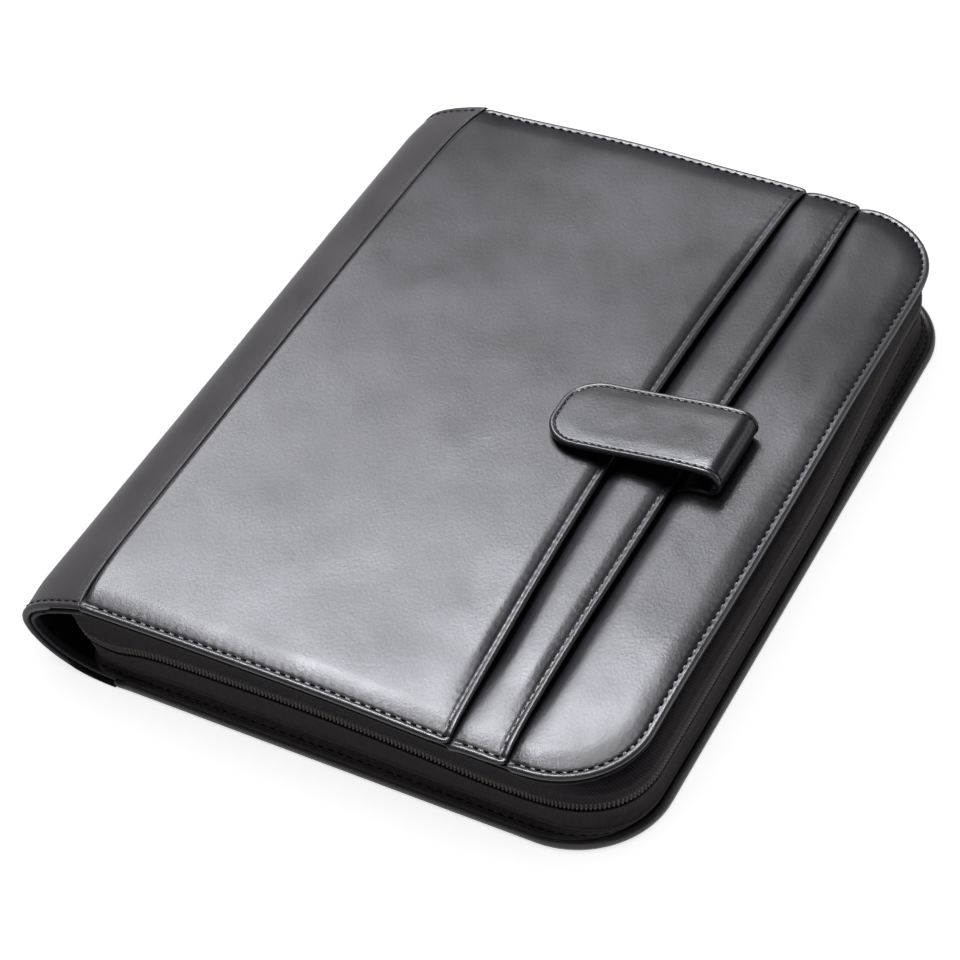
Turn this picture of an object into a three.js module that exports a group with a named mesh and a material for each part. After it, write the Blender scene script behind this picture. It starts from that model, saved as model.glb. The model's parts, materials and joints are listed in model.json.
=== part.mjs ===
import * as THREE from 'three';

// A zipped leather document case for A4 papers, closed and lying on its back cover.
// Lengths are millimetres and +Z is up. Inside this file X is measured from the seam between the spine
// panel and the front panel towards the free edge, Y runs along the spine, and Z is the height above the
// floor. The last lines move the whole case so that its box is centred.

// The whole case
const caseLength = 350;
const caseWidth = 273;
const rimHeight = 43.5;
const clearance = 0.3;

// Free corners and edges
const frontCornerRadius = 37.6;
const backCornerRadius = 39.8;
const frontSetback = 5.7;
const edgeRound = 1.3;
const upperRoundShare = 0.55;
const lowerRoundShare = 0.25;

// Walls
const panelWall = 3;
const liningWall = 2;
const flapWall = 1.2;
const marginWall = 1.2;
const foldWall = 2.6;
const rimFoldWall = 1.5;
const clothWall = 1.2;
const liningInset = 0.7;
const backLiningInset = 0.3;

// Padding of the front cover: how high it swells and how wide its rolled border is
const crown = 0.8;
const borderWidth = 14;
const liningSink = 3.8;
const liningSeat = 7;
const frontLiningStart = 2.2;

// Spine: an outline of two curves that meet at the nose
const noseReach = 30.9;
const noseHeight = 22.6;
const noseRoundUp = 9.9;
const noseRoundDown = 8.6;
const shoulderReach = 15;
const shoulderSlope = 0.33;
const seamDrop = 0.3;
const heelReach = 16;
const heelLap = 12;
const seamLap = 10;
const seamBow = 3.2;
const seamRise = 11;
const seamShadow = 0.8;
const heelMargin = 4;
const flapRun = 3;
const flapRise = 7;

// Pocket mouths: widths of the panels beyond them, and how far the mouths bow and open
const outerPanelWidth = 47.6;
const stripWidth = 29.1;
const mouthLap = 12;
const mouthGap = 2;
const mouthRun = 60;
const foldFall = 1.5;
const foldWidth = 11;
const riseWidth = 18;
const mouthBow = 8;

// Gusset and zip
const gussetInset = 4.5;
const gussetBulge = 8.5;
const endTurnRadius = 7;
const endLean = 0.5;
const endLeanRun = 32;
const farSlack = 0.3;
const zipHeight = 24.5;
const zipRise = 5;
const coilWidth = 4.8;
const coilThickness = 1.5;
const tapeLap = 3;
const tapeWall = 1;
const sliderWidth = 9;
const sliderHeight = 9;
const sliderThickness = 2.2;
const pullWidth = 5;
const pullLength = 22;
const sliderPlace = 22;

// Closure strap and its snap
const strapWidth = 39.8;
const strapWall = 2.6;
const strapTailWall = 1.2;
const strapPad = 0.6;
const strapTipRadius = 16;
const strapReach = 76;
const strapLift = 2.8;
const strapCentre = 1.2;
const strapRunIn = 0.32;
const strapRunOut = 0.25;
const strapRunRise = 0.5;
const curlRadius = 7;
const curlPlace = 14.3;
const curlHalfTurn = 70;
const strapTail = 9;
const snapRadius = 7;
const snapPlace = 17;

// Gentle waves of the front cover. Across and along are shares of the front's width and the case's length,
// reach is a share of that length, and rise is a share of waveRise.
const waveRise = 2;
const coverWaves = [
  { across: 0.22, along: -0.5, reach: 0.13, rise: 0.8 },
  { across: 0.48, along: -0.5, reach: 0.08, rise: 0.45 },
  { across: 0.8, along: -0.5, reach: 0.08, rise: -0.45 },
  { across: 1, along: -0.31, reach: 0.08, rise: 0.8 },
  { across: 1, along: 0.15, reach: 0.08, rise: 0.8 },
  { across: 0, along: 0.5, reach: 0.14, rise: -0.9 },
  { across: 0.36, along: 0.5, reach: 0.11, rise: 1.4 },
  { across: 0.7, along: 0.5, reach: 0.08, rise: 1.1 },
];

// The zip dips beside the spine and wanders a little along the near side. Rise is a share of zipRise.
const zipWaves = [
  { across: -0.04, along: -0.47, reach: 0.02, rise: 0.9 },
  { across: 0.03, along: -0.5, reach: 0.035, rise: -0.9 },
  { across: 0.42, along: -0.5, reach: 0.11, rise: 0.5 },
  { across: 0.78, along: -0.5, reach: 0.05, rise: -0.35 },
];

// Bow of each mouth, towards its near and its far end: a share of mouthBow, and the power of its curve
const firstMouthBow = { near: 1, nearPower: 1.7, far: 0.9, farPower: 3 };
const secondMouthBow = { near: 0.35, nearPower: 6, far: 0.45, farPower: 1 };

// Section of the gusset. Level is a share of the height of the cloth, from its lower edge up, and the
// other columns say how far it stands out, as shares of gussetBulge: on the ends, and on the long side.
const upperSection = [
  { level: 0, ends: 0, side: 0.84 },
  { level: 0.38, ends: 0, side: 0.84 },
  { level: 0.75, ends: 0, side: 0.55 },
  { level: 1, ends: 0, side: 0.1 },
];
const lowerSection = [
  { level: 0, ends: 0.42, side: 0.66 },
  { level: 0.07, ends: 0.34, side: 0.72 },
  { level: 0.24, ends: 0, side: 0.97 },
  { level: 0.36, ends: 0, side: 1 },
  { level: 0.7, ends: 0, side: 0.84 },
  { level: 1, ends: 0, side: 0.84 },
];

// Places worked out from the dimensions above
const halfLength = caseLength / 2;
const backEdge = caseWidth - noseReach;
const frontEdge = backEdge - frontSetback;
const backTop = panelWall + clearance + liningWall;
const secondMouthX = frontEdge - outerPanelWidth;
const firstMouthX = secondMouthX - stripWidth;

const { lerp, smoothstep, degToRad } = THREE.MathUtils;

function ease(value, width) {
  return smoothstep(value, 0, width);
}

function leatherMaterial(color, roughness) {
  return new THREE.MeshStandardMaterial({ color, roughness, metalness: 0 });
}

const leather = leatherMaterial(0x1b1b1e, 0.42);
const lining = leatherMaterial(0x232126, 0.5);
const cloth = leatherMaterial(0x1a181a, 0.85);
const coilNylon = leatherMaterial(0x17150f, 0.5);
const metal = new THREE.MeshStandardMaterial({ color: 0x2c2c2e, roughness: 0.35, metalness: 0.9 });

// A closed wall between two grids of points, an outer one and an inner one, each with the same rows and
// columns. Four strips along the borders join them.
function wallBetween(outer, inner) {
  const rows = outer.length;
  const columns = outer[0].length;
  const positions = [...outer.flat(), ...inner.flat()].flatMap((point) => point.toArray());
  const near = (row, column) => row * columns + column;
  const far = (row, column) => rows * columns + near(row, column);
  const lastRow = rows - 1;
  const lastColumn = columns - 1;
  const indices = [];
  const quad = (a, b, c, d) => indices.push(a, b, c, a, c, d);
  for (let row = 0; row < lastRow; row += 1) {
    for (let column = 0; column < lastColumn; column += 1) {
      quad(near(row, column), near(row, column + 1), near(row + 1, column + 1), near(row + 1, column));
      quad(far(row, column), far(row + 1, column), far(row + 1, column + 1), far(row, column + 1));
    }
    quad(near(row, 0), near(row + 1, 0), far(row + 1, 0), far(row, 0));
    quad(near(row + 1, lastColumn), near(row, lastColumn), far(row, lastColumn), far(row + 1, lastColumn));
  }
  for (let column = 0; column < lastColumn; column += 1) {
    quad(near(0, column + 1), near(0, column), far(0, column), far(0, column + 1));
    quad(near(lastRow, column), near(lastRow, column + 1), far(lastRow, column + 1), far(lastRow, column));
  }
  if (signedVolume(positions, indices) < 0) indices.reverse();
  const geometry = new THREE.BufferGeometry();
  geometry.setAttribute('position', new THREE.Float32BufferAttribute(positions, 3));
  geometry.setIndex(indices);
  geometry.computeVertexNormals();
  return geometry;
}

function signedVolume(positions, indices) {
  const corner = (index) => new THREE.Vector3().fromArray(positions, 3 * index);
  let volume = 0;
  for (let start = 0; start < indices.length; start += 3) {
    const [a, b, c] = indices.slice(start, start + 3).map(corner);
    volume += a.dot(b.cross(c)) / 6;
  }
  return volume;
}

// A sheet that lies flat: its rows are the values of y, columnsAt(y) gives the values of x in a row, and
// top and bottom give its heights there.
function sheet(rows, columnsAt, top, bottom) {
  const grid = (height) => rows.map((y) => columnsAt(y).map((x) => new THREE.Vector3(x, y, height(x, y))));
  return wallBetween(grid(top), grid(bottom));
}

// Values of y from the near end to the far end, close together where the corners turn
function lengthRows(half, radius, cornerSteps, middleSteps) {
  const ends = [];
  for (let step = 0; step <= cornerSteps; step += 1) {
    const angle = (Math.PI / 2) * (step / cornerSteps);
    ends.push(half - radius * (1 - Math.cos(angle)));
  }
  const straight = half - radius;
  const middle = [];
  for (let step = 1; step < middleSteps; step += 1) {
    middle.push(lerp(-straight, straight, step / middleSteps));
  }
  return [...ends.map((y) => -y), ...middle, ...ends.reverse()];
}

function spread(from, to, shares) {
  return shares.map((share) => lerp(from, to, share));
}

// Distance in from the rim of a cover whose free corners are round
function rimDistance(x, y, edge, half, radius) {
  const across = edge - x;
  const along = half - Math.abs(y);
  if (across > radius || along > radius) return Math.min(across, along);
  return radius - Math.hypot(radius - across, radius - along);
}

function freeEdgeAt(y, edge, half, radius) {
  const past = Math.max(0, Math.abs(y) - (half - radius));
  return edge - radius + Math.sqrt(Math.max(0, radius ** 2 - past ** 2));
}

const frontRim = (x, y) => rimDistance(x, y, frontEdge, halfLength, frontCornerRadius);
const backRim = (x, y) => rimDistance(x, y, backEdge, halfLength, backCornerRadius);

// Height lost to a rounded edge at a distance in from it
function rounding(distance, radius) {
  if (distance >= radius) return 0;
  return radius - Math.sqrt(radius ** 2 - (radius - Math.max(0, distance)) ** 2);
}

function ripple(waves, rise, x, y) {
  let height = 0;
  for (const wave of waves) {
    const away = Math.hypot(x - wave.across * frontEdge, y - wave.along * caseLength);
    height += rise * wave.rise * Math.exp(-0.5 * (away / (wave.reach * caseLength)) ** 2);
  }
  return height;
}

// Height of the padded front before its seams and mouths press it down
function frontHeight(x, y) {
  return rimHeight + ripple(coverWaves, waveRise, x, y) + crown * ease(frontRim(x, y), borderWidth);
}

// Pocket mouths
function mouthX(middle, bow, y) {
  const share = Math.abs(y) / halfLength;
  if (y < 0) return middle + mouthBow * bow.near * share ** bow.nearPower;
  return middle + mouthBow * bow.far * share ** bow.farPower;
}

const firstMouth = (y) => mouthX(firstMouthX, firstMouthBow, y);
const secondMouth = (y) => mouthX(secondMouthX, secondMouthBow, y);

// How far the mouths stand open at y, from 0 at the rim to 1 along the middle
const openShare = (y) => ease(halfLength - Math.abs(y), mouthRun);

// A panel's folded edge rolls down to the mouth, and the next panel starts below it and rises again
const foldDrop = (toMouth, y) => foldFall * openShare(y) * (1 - ease(toMouth, foldWidth));
const foldWallAt = (y) => lerp(rimFoldWall, foldWall, openShare(y));
const tuckDepth = (y) => foldWallAt(y) + foldFall * openShare(y) + lerp(clearance, mouthGap, openShare(y));

function tuckDrop(pastMouth, y) {
  return tuckDepth(y) * (1 - Math.min(Math.max(pastMouth / riseWidth, 0), 1)) ** 2;
}

function wallNear(toMouth, y) {
  return lerp(foldWallAt(y), panelWall, ease(toMouth - mouthLap - clearance, foldWidth));
}

function tuckedWall(pastMouth) {
  return lerp(marginWall, panelWall, ease(pastMouth, riseWidth));
}

// Spine outline in the plane across the spine, from the front seam to the nose and on to the heel
const nose = new THREE.Vector2(-noseReach, noseHeight);
const seamHeight = rimHeight - seamDrop;
const shoulderCurve = new THREE.CubicBezierCurve(
  new THREE.Vector2(0, seamHeight),
  new THREE.Vector2(-shoulderReach, seamHeight - shoulderReach * shoulderSlope),
  new THREE.Vector2(-noseReach, noseHeight + noseRoundUp),
  nose,
);
const heelCurve = new THREE.CubicBezierCurve(
  nose,
  new THREE.Vector2(-noseReach, noseHeight - noseRoundDown),
  new THREE.Vector2(-heelReach, 0),
  new THREE.Vector2(heelLap, 0),
);

// Where an outline passes x, as a share of the curve, by halving the span that holds it
function shareAt(curve, x) {
  const rising = curve.getPoint(1).x > curve.getPoint(0).x;
  let low = 0;
  let high = 1;
  for (let turn = 0; turn < 30; turn += 1) {
    const middle = (low + high) / 2;
    if (curve.getPoint(middle).x < x === rising) low = middle;
    else high = middle;
  }
  return low;
}

const heightOn = (curve, x) => curve.getPoint(shareAt(curve, x)).y;

// The front seam bows a little towards the nose along its middle
const seamX = (y) => -seamBow * (1 - (y / halfLength) ** 2);

// The spine is a little lower where the front's waves are
const spineScale = (y) => (rimHeight + ripple(coverWaves, waveRise, 0, y)) / rimHeight;
const shoulderHeight = (x, y) => heightOn(shoulderCurve, x) * spineScale(y);

// Front panel: its left margin lies under the spine panel's edge, its right edge is the first mouth
const seamTuck = (flapWall + clearance) * Math.hypot(1, shoulderSlope);

function frontPanelTop(x, y) {
  const pastSeam = x - seamX(y);
  if (pastSeam <= 0) return shoulderHeight(x, y) - seamTuck;
  const flat = frontHeight(x, y) - foldDrop(firstMouth(y) - x, y);
  const low = Math.min(flat, shoulderHeight(seamX(y), y)) - seamTuck;
  return lerp(low, flat, ease(pastSeam - seamShadow, seamRise));
}

function frontPanelBottom(x, y) {
  const pastSeam = x - seamX(y) - seamRise / 3;
  const wall = lerp(marginWall, wallNear(firstMouth(y) - x, y), ease(pastSeam, seamRise));
  return frontPanelTop(x, y) - wall;
}

function stripTop(x, y) {
  return frontHeight(x, y) - tuckDrop(x - firstMouth(y), y) - foldDrop(secondMouth(y) - x, y);
}

function stripBottom(x, y) {
  const pastMouth = x - firstMouth(y);
  const toMouth = secondMouth(y) - x;
  return stripTop(x, y) - Math.min(tuckedWall(pastMouth), wallNear(toMouth, y));
}

function outerPanelTop(x, y) {
  return frontHeight(x, y) - tuckDrop(x - secondMouth(y), y);
}

function outerPanelBottom(x, y) {
  return outerPanelTop(x, y) - tuckedWall(x - secondMouth(y));
}

// Rounds the edges of a wall that lies flat, as far as its thickness leaves room for it
function rounded(top, bottom, distance) {
  const wall = (x, y) => top(x, y) - bottom(x, y);
  const upper = (x, y) => Math.min(edgeRound, upperRoundShare * wall(x, y));
  const lower = (x, y) => Math.min(edgeRound / 2, lowerRoundShare * wall(x, y));
  return [
    (x, y) => top(x, y) - rounding(distance(x, y), upper(x, y)),
    (x, y) => bottom(x, y) + rounding(distance(x, y), lower(x, y)),
  ];
}

// Distance in from the edges of a panel of the front: the rim, and its mouth where it has one
const panelEdge = (mouth) => (x, y) => Math.min(frontRim(x, y), mouth(y) - x);

const panelRows = lengthRows(halfLength, frontCornerRadius, 6, 11);

function frontPanel() {
  const shares = [0, 0.12, 0.25, 0.38, 0.52, 0.66, 0.8, 0.9, 0.95, 0.975, 0.992, 1];
  const columns = (y) => [
    ...spread(seamX(y) - seamLap, seamX(y), [0, 0.5, 1]),
    ...spread(seamX(y), seamX(y) + seamRise, [0.08, 0.3, 0.6]),
    ...spread(seamX(y) + seamRise, firstMouth(y), shares),
  ];
  return sheet(panelRows, columns, ...rounded(frontPanelTop, frontPanelBottom, panelEdge(firstMouth)));
}

function pocketStrip() {
  const shares = [0, 0.1, 0.22, 0.4, 0.6, 0.78, 0.9, 0.96, 1];
  const columns = (y) => [firstMouth(y) - mouthLap, ...spread(firstMouth(y), secondMouth(y), shares)];
  return sheet(panelRows, columns, ...rounded(stripTop, stripBottom, panelEdge(secondMouth)));
}

function outerPanel() {
  const shares = [0, 0.08, 0.18, 0.32, 0.5, 0.68, 0.82, 0.92, 0.975, 1];
  const edge = (y) => freeEdgeAt(y, frontEdge, halfLength, frontCornerRadius);
  const columns = (y) => [secondMouth(y) - mouthLap, ...spread(secondMouth(y), edge(y), shares)];
  return sheet(panelRows, columns, ...rounded(outerPanelTop, outerPanelBottom, frontRim));
}

// Linings
const liningStart = heelLap + clearance;

function frontLiningTop(x, y) {
  const inside = Math.min(frontRim(x, y) - liningInset, x - frontLiningStart);
  const waves = ripple(coverWaves, waveRise, x, y);
  return rimHeight + waves - panelWall - clearance - liningSink * ease(inside - liningSeat, borderWidth);
}

function frontLining() {
  const half = halfLength - liningInset;
  const radius = frontCornerRadius - liningInset;
  const right = (y) => freeEdgeAt(y, frontEdge - liningInset, half, radius);
  const shares = [0, 0.04, 0.1, 0.19, 0.28, 0.37, 0.46, 0.55, 0.64, 0.73, 0.82, 0.91, 0.965, 1];
  const columns = (y) => spread(frontLiningStart, right(y), shares);
  return sheet(lengthRows(half, radius, 6, 11), columns, frontLiningTop, frontLiningFloor);
}

function frontLiningFloor(x, y) {
  return frontLiningTop(x, y) - liningWall;
}

function backLining() {
  const half = halfLength - backLiningInset;
  const radius = backCornerRadius - backLiningInset;
  const edge = backEdge - backLiningInset;
  const columns = (y) => spread(liningStart, freeEdgeAt(y, edge, half, radius), [0, 0.5, 0.9, 0.98, 1]);
  const fall = (x, y) => rounding(rimDistance(x, y, edge, half, radius), liningWall / 2);
  const top = (x, y) => backTop - fall(x, y);
  return sheet(lengthRows(half, radius, 8, 2), columns, top, () => panelWall + clearance);
}

// Back cover: flat below, with a margin on the spine side that steps up over the spine panel's edge
function backCover() {
  const step = heelLap + clearance;
  const right = (y) => freeEdgeAt(y, backEdge, halfLength, backCornerRadius);
  const shares = [0, 0.5, 0.9, 0.985, 1];
  const columns = (y) => [-heelMargin, 0, step, ...spread(step + clearance, right(y), shares)];
  const heelTuck = flapWall + clearance;
  const top = (x, y) => {
    const lift = x < heelLap ? heightOn(heelCurve, x) * spineScale(y) : 0;
    return heelTuck + marginWall + lift + (x > step ? panelWall - heelTuck - marginWall : 0);
  };
  const bottom = (x, y) => {
    if (x > step) return 0;
    return heelTuck + (x < heelLap ? heightOn(heelCurve, x) * spineScale(y) : 0);
  };
  return sheet(lengthRows(halfLength, backCornerRadius, 8, 2), columns, ...rounded(top, bottom, backRim));
}

// A wall round the spine between two depths below its outline. Depths may differ from point to point.
function spineWall(outerDepth, innerDepth, half, steps) {
  const outlineAt = (y) => {
    const start = shareAt(shoulderCurve, seamX(y));
    const spots = [];
    for (const curve of [shoulderCurve, heelCurve]) {
      const lower = curve === heelCurve;
      for (let step = lower ? 1 : 0; step <= steps; step += 1) {
        const share = lower ? step / steps : lerp(start, 1, step / steps);
        const tangent = curve.getTangent(share);
        const inward = new THREE.Vector2(-tangent.y, tangent.x);
        spots.push({ point: curve.getPoint(share), inward, lower });
      }
    }
    return spots;
  };
  const grid = (depth) => lengthRows(half, borderWidth, 3, 5).map((y) => outlineAt(y).map((spot) => {
    const place = spot.point.clone().addScaledVector(spot.inward, depth(spot, half - Math.abs(y), y));
    return new THREE.Vector3(place.x, y, Math.max(0, place.y * spineScale(y)));
  }));
  return wallBetween(grid(outerDepth), grid(innerDepth));
}

// The spine panel thins to a flap over the front panel's margin and under the back cover's
function spinePanel() {
  const innerDepth = ({ point, lower }, fromEnd, y) => {
    const flapEnd = lower ? -heelMargin : seamX(y) - seamLap;
    return lerp(flapWall, panelWall, ease(flapEnd - flapRun - point.x, flapRise));
  };
  return spineWall((spot, fromEnd) => rounding(fromEnd, edgeRound) / 3, innerDepth, halfLength, 9);
}

function spineLining() {
  const outerDepth = panelWall + 2 * clearance;
  return spineWall(() => outerDepth, () => outerDepth + liningWall, halfLength - liningInset, 7);
}

// Underside of the linings, less a clearance: what stands inside the case reaches up to here. The slope is
// that of the shoulder's outline at the end of the gusset.
const steepest = 1.4 * shoulderSlope;

function ceiling(x, y) {
  const spineDepth = panelWall + liningWall + 3 * clearance;
  const slope = Math.hypot(1, steepest);
  if (x < frontLiningStart) return shoulderHeight(Math.min(x, 0), y) - spineDepth * slope;
  return frontLiningFloor(x, y) - clearance;
}

// Top of the linings below, plus a clearance: what stands inside the case starts from here
function floorOver(x, y) {
  if (x > liningStart + borderWidth / 4) return backTop + clearance;
  const spineDepth = panelWall + liningWall + 3 * clearance;
  return heightOn(heelCurve, Math.min(x, heelLap)) * spineScale(y) + spineDepth + clearance;
}

// The line under the front's rim that the gusset follows: from inside the spine, along the near side,
// round the free edge and back. Each stop has its place, its outward direction, how far it belongs to the
// long side, and how far to the turned-in ends.
function gussetStops() {
  const turn = endTurnRadius + gussetInset;
  const stops = [];
  const add = (x, y, angle, side, end) => {
    stops.push({ x, y, out: new THREE.Vector2(Math.cos(angle), Math.sin(angle)), side, end });
  };
  for (const angle of [180, 210, 240]) {
    const turned = degToRad(angle);
    add(turn * Math.cos(turned), turn - halfLength + turn * Math.sin(turned), turned, 0, 1);
  }
  const cornerX = frontEdge - frontCornerRadius;
  const cornerY = halfLength - frontCornerRadius;
  for (const share of [0, 0.05, 0.12, 0.2, 0.3, 0.4, 0.5, 0.6, 0.7, 0.8, 0.9]) {
    const x = lerp(0, cornerX, share);
    add(x, -halfLength, degToRad(270), 0, 1 - ease(x, endLeanRun));
  }
  for (let angle = 270; angle <= 345; angle += 15) {
    const turned = degToRad(angle);
    const x = cornerX + frontCornerRadius * Math.cos(turned);
    const y = -cornerY + frontCornerRadius * Math.sin(turned);
    add(x, y, turned, ease(angle - 270, 70), 0);
  }
  for (const share of [0, 0.1, 0.2, 0.3, 0.4, 0.5, 0.6, 0.7, 0.8, 0.9]) {
    const y = lerp(-cornerY, cornerY, share);
    add(frontEdge, y, 0, lerp(1, farSlack, ease(y, cornerY)), 0);
  }
  for (let angle = 0; angle <= 75; angle += 15) {
    const turned = degToRad(angle);
    const x = cornerX + frontCornerRadius * Math.cos(turned);
    const y = cornerY + frontCornerRadius * Math.sin(turned);
    add(x, y, turned, farSlack * (1 - ease(angle, 80)), 0);
  }
  for (const share of [0, 0.3, 0.6, 0.8, 0.9, 1]) {
    const x = lerp(cornerX, 0, share);
    add(x, halfLength, degToRad(90), 0, 1 - ease(x, endLeanRun));
  }
  for (const angle of [120, 150, 180]) {
    const turned = degToRad(angle);
    add(turn * Math.cos(turned), halfLength - turn + turn * Math.sin(turned), turned, 0, 1);
  }
  return stops;
}

const zipHeightAt = (stop) => zipHeight + ripple(zipWaves, zipRise, stop.x, stop.y);
const standOut = (stop, row) => gussetBulge * lerp(row.ends, row.side, stop.side) - gussetInset;

// A point of the gusset: out from the line under the rim and up. Near the spine the cloth leans, higher
// up towards the nose and lower down away from it.
function gussetPoint(stop, out, height) {
  const lean = endLean * stop.end * (height - zipHeight);
  return new THREE.Vector3(stop.x + stop.out.x * out - lean, stop.y + stop.out.y * out, height);
}

function ceilingOver(stop, out) {
  let height = ceiling(stop.x, stop.y);
  for (let turn = 0; turn < 4; turn += 1) {
    const point = gussetPoint(stop, out, height);
    height = Math.min(ceiling(point.x, point.y), ceiling(point.x + clothWall, point.y));
  }
  return height;
}

function floorUnder(stop, out) {
  let height = floorOver(stop.x, stop.y);
  for (let turn = 0; turn < 4; turn += 1) {
    const point = gussetPoint(stop, out, height);
    height = Math.max(floorOver(point.x, point.y), floorOver(point.x - clothWall, point.y));
  }
  return height;
}

const slotHalf = coilWidth / 2 + 2 * clearance;
const upperBottom = (stop) => zipHeightAt(stop) + slotHalf;
const lowerTop = (stop) => zipHeightAt(stop) - slotHalf;

// Cloth between a lower and an upper height at each stop, with its section's rows
function clothBand(section, bottom, top) {
  const grid = (inward) => gussetStops().map((stop) => section.map((row) => {
    const out = standOut(stop, row);
    return gussetPoint(stop, out - inward, lerp(bottom(stop), top(stop), row.level));
  }));
  return wallBetween(grid(0), grid(clothWall));
}

function gussetUpper() {
  const topRow = upperSection[upperSection.length - 1];
  return clothBand(upperSection, upperBottom, (stop) => ceilingOver(stop, standOut(stop, topRow)));
}

function gussetLower() {
  return clothBand(lowerSection, (stop) => floorUnder(stop, standOut(stop, lowerSection[0])), lowerTop);
}

// A band that follows the zip, from one distance behind the cloth's face to another
function zipBand(outerDepth, wall, halfHeight) {
  const row = lowerSection[lowerSection.length - 1];
  const grid = (depth) => gussetStops().map((stop) => [-1, 1].map((side) => {
    const out = standOut(stop, row) - depth;
    const height = Math.min(zipHeightAt(stop) + side * halfHeight, ceilingOver(stop, out));
    return gussetPoint(stop, out, height);
  }));
  return wallBetween(grid(outerDepth), grid(outerDepth + wall));
}

const tapeDepth = clothWall + clearance;
const coilDepth = tapeDepth - clearance - coilThickness;

function zipTape() {
  return zipBand(tapeDepth, tapeWall, slotHalf + tapeLap);
}

function zipCoil() {
  return zipBand(coilDepth, coilThickness, coilWidth / 2);
}

// Slider and pull in one piece, flat against the coil on the far side
function zipSlider() {
  const outline = new THREE.Shape();
  outline.moveTo(-sliderWidth / 2, -sliderHeight / 2);
  outline.lineTo(sliderWidth / 2, -pullWidth / 2);
  outline.lineTo(sliderWidth / 2 + pullLength, -pullWidth / 2);
  outline.absarc(sliderWidth / 2 + pullLength, 0, pullWidth / 2, -Math.PI / 2, Math.PI / 2, false);
  outline.lineTo(sliderWidth / 2, pullWidth / 2);
  outline.lineTo(-sliderWidth / 2, sliderHeight / 2);
  outline.closePath();
  const geometry = new THREE.ExtrudeGeometry(outline, {
    depth: sliderThickness,
    bevelEnabled: false,
    curveSegments: 8,
  });
  return geometry.rotateX(Math.PI / 2);
}

// Strap: a list of places along its outer face, from the tip over the curl to the tail in the pocket.
// Each has its place, its outward direction, the wall there and half its width.
function strapStops() {
  const curlX = secondMouthX + curlPlace;
  const tipX = curlX - strapReach;
  const seat = outerPanelTop(curlX, strapCentre) + clearance;
  const curlZ = seat + curlRadius;
  const tipZ = frontPanelTop(tipX, strapCentre) + strapLift + strapWall;
  const run = new THREE.CubicBezierCurve(
    new THREE.Vector2(tipX, tipZ),
    new THREE.Vector2(tipX + strapReach * strapRunIn, tipZ + strapRunRise),
    new THREE.Vector2(curlX - strapReach * strapRunOut, curlZ + curlRadius),
    new THREE.Vector2(curlX, curlZ + curlRadius),
  );
  const stops = [];
  for (const share of [0, 0.01, 0.04, 0.09, 0.15, 0.24, 0.38, 0.52, 0.66, 0.8, 0.92, 1]) {
    const point = run.getPoint(share);
    const tangent = run.getTangent(share);
    const past = Math.max(0, strapTipRadius - (point.x - tipX));
    const half = strapWidth / 2 - strapTipRadius + Math.sqrt(strapTipRadius ** 2 - past ** 2);
    stops.push({ x: point.x, z: point.y, outX: -tangent.y, outZ: tangent.x, wall: strapWall, half });
  }
  const half = strapWidth / 2;
  for (let angle = curlHalfTurn; angle >= -curlHalfTurn; angle -= 20) {
    const outX = Math.cos(degToRad(angle));
    const outZ = Math.sin(degToRad(angle));
    const x = curlX + curlRadius * outX;
    stops.push({ x, z: curlZ + curlRadius * outZ, outX, outZ, wall: strapWall, half });
  }
  for (const share of [1, 0.8, 0.6, 0.38, 0.15, 0, -0.32, -strapTail / curlPlace]) {
    const past = curlPlace * share;
    const wall = lerp(strapTailWall, strapWall, ease(past, curlPlace));
    stops.push({ x: secondMouthX + past, onPanel: true, outX: 0, outZ: -1, wall, half });
  }
  return stops;
}

function closureStrap() {
  const across = [-1, -0.93, -0.8, -0.3, 0.3, 0.8, 0.93, 1];
  const grid = (depthAt) => strapStops().map((stop) => across.map((share) => {
    const y = strapCentre + share * stop.half;
    const z = stop.onPanel ? outerPanelTop(stop.x, y) + clearance : stop.z;
    const thin = stop.onPanel ? 0 : strapPad * ease(Math.abs(share), 1) ** 3;
    const depth = depthAt(stop.wall, thin);
    return new THREE.Vector3(stop.x - stop.outX * depth, y, z - stop.outZ * depth);
  }));
  return wallBetween(grid((wall, thin) => thin), grid((wall, thin) => wall - thin));
}

function strapSnap() {
  const height = strapLift - 2 * clearance;
  return new THREE.CylinderGeometry(snapRadius, snapRadius, height, 24).rotateX(Math.PI / 2);
}

function named(name, geometry, material) {
  const mesh = new THREE.Mesh(geometry, material);
  mesh.name = name;
  return mesh;
}

function placeSlider(slider) {
  const coilFace = halfLength - gussetInset - coilDepth;
  slider.position.set(sliderPlace, coilFace + clearance + sliderThickness, zipHeight);
}

function placeSnap(snap) {
  const x = secondMouthX + curlPlace - strapReach + snapPlace;
  const floor = frontPanelTop(x, strapCentre);
  snap.position.set(x, strapCentre, floor + strapLift / 2);
}

const documentCase = new THREE.Group();
documentCase.name = 'document_case';
documentCase.position.x = noseReach - caseWidth / 2;

const slider = named('zip_slider', zipSlider(), metal);
placeSlider(slider);
const snap = named('strap_snap', strapSnap(), metal);
placeSnap(snap);

documentCase.add(
  named('back_cover', backCover(), leather),
  named('back_lining', backLining(), lining),
  named('spine_panel', spinePanel(), leather),
  named('spine_lining', spineLining(), lining),
  named('front_panel', frontPanel(), leather),
  named('pocket_strip', pocketStrip(), leather),
  named('outer_panel', outerPanel(), leather),
  named('front_lining', frontLining(), lining),
  named('gusset_upper', gussetUpper(), cloth),
  named('gusset_lower', gussetLower(), cloth),
  named('zip_tape', zipTape(), cloth),
  named('zip_coil', zipCoil(), coilNylon),
  slider,
  named('closure_strap', closureStrap(), leather),
  snap,
);

export default documentCase;
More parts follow.
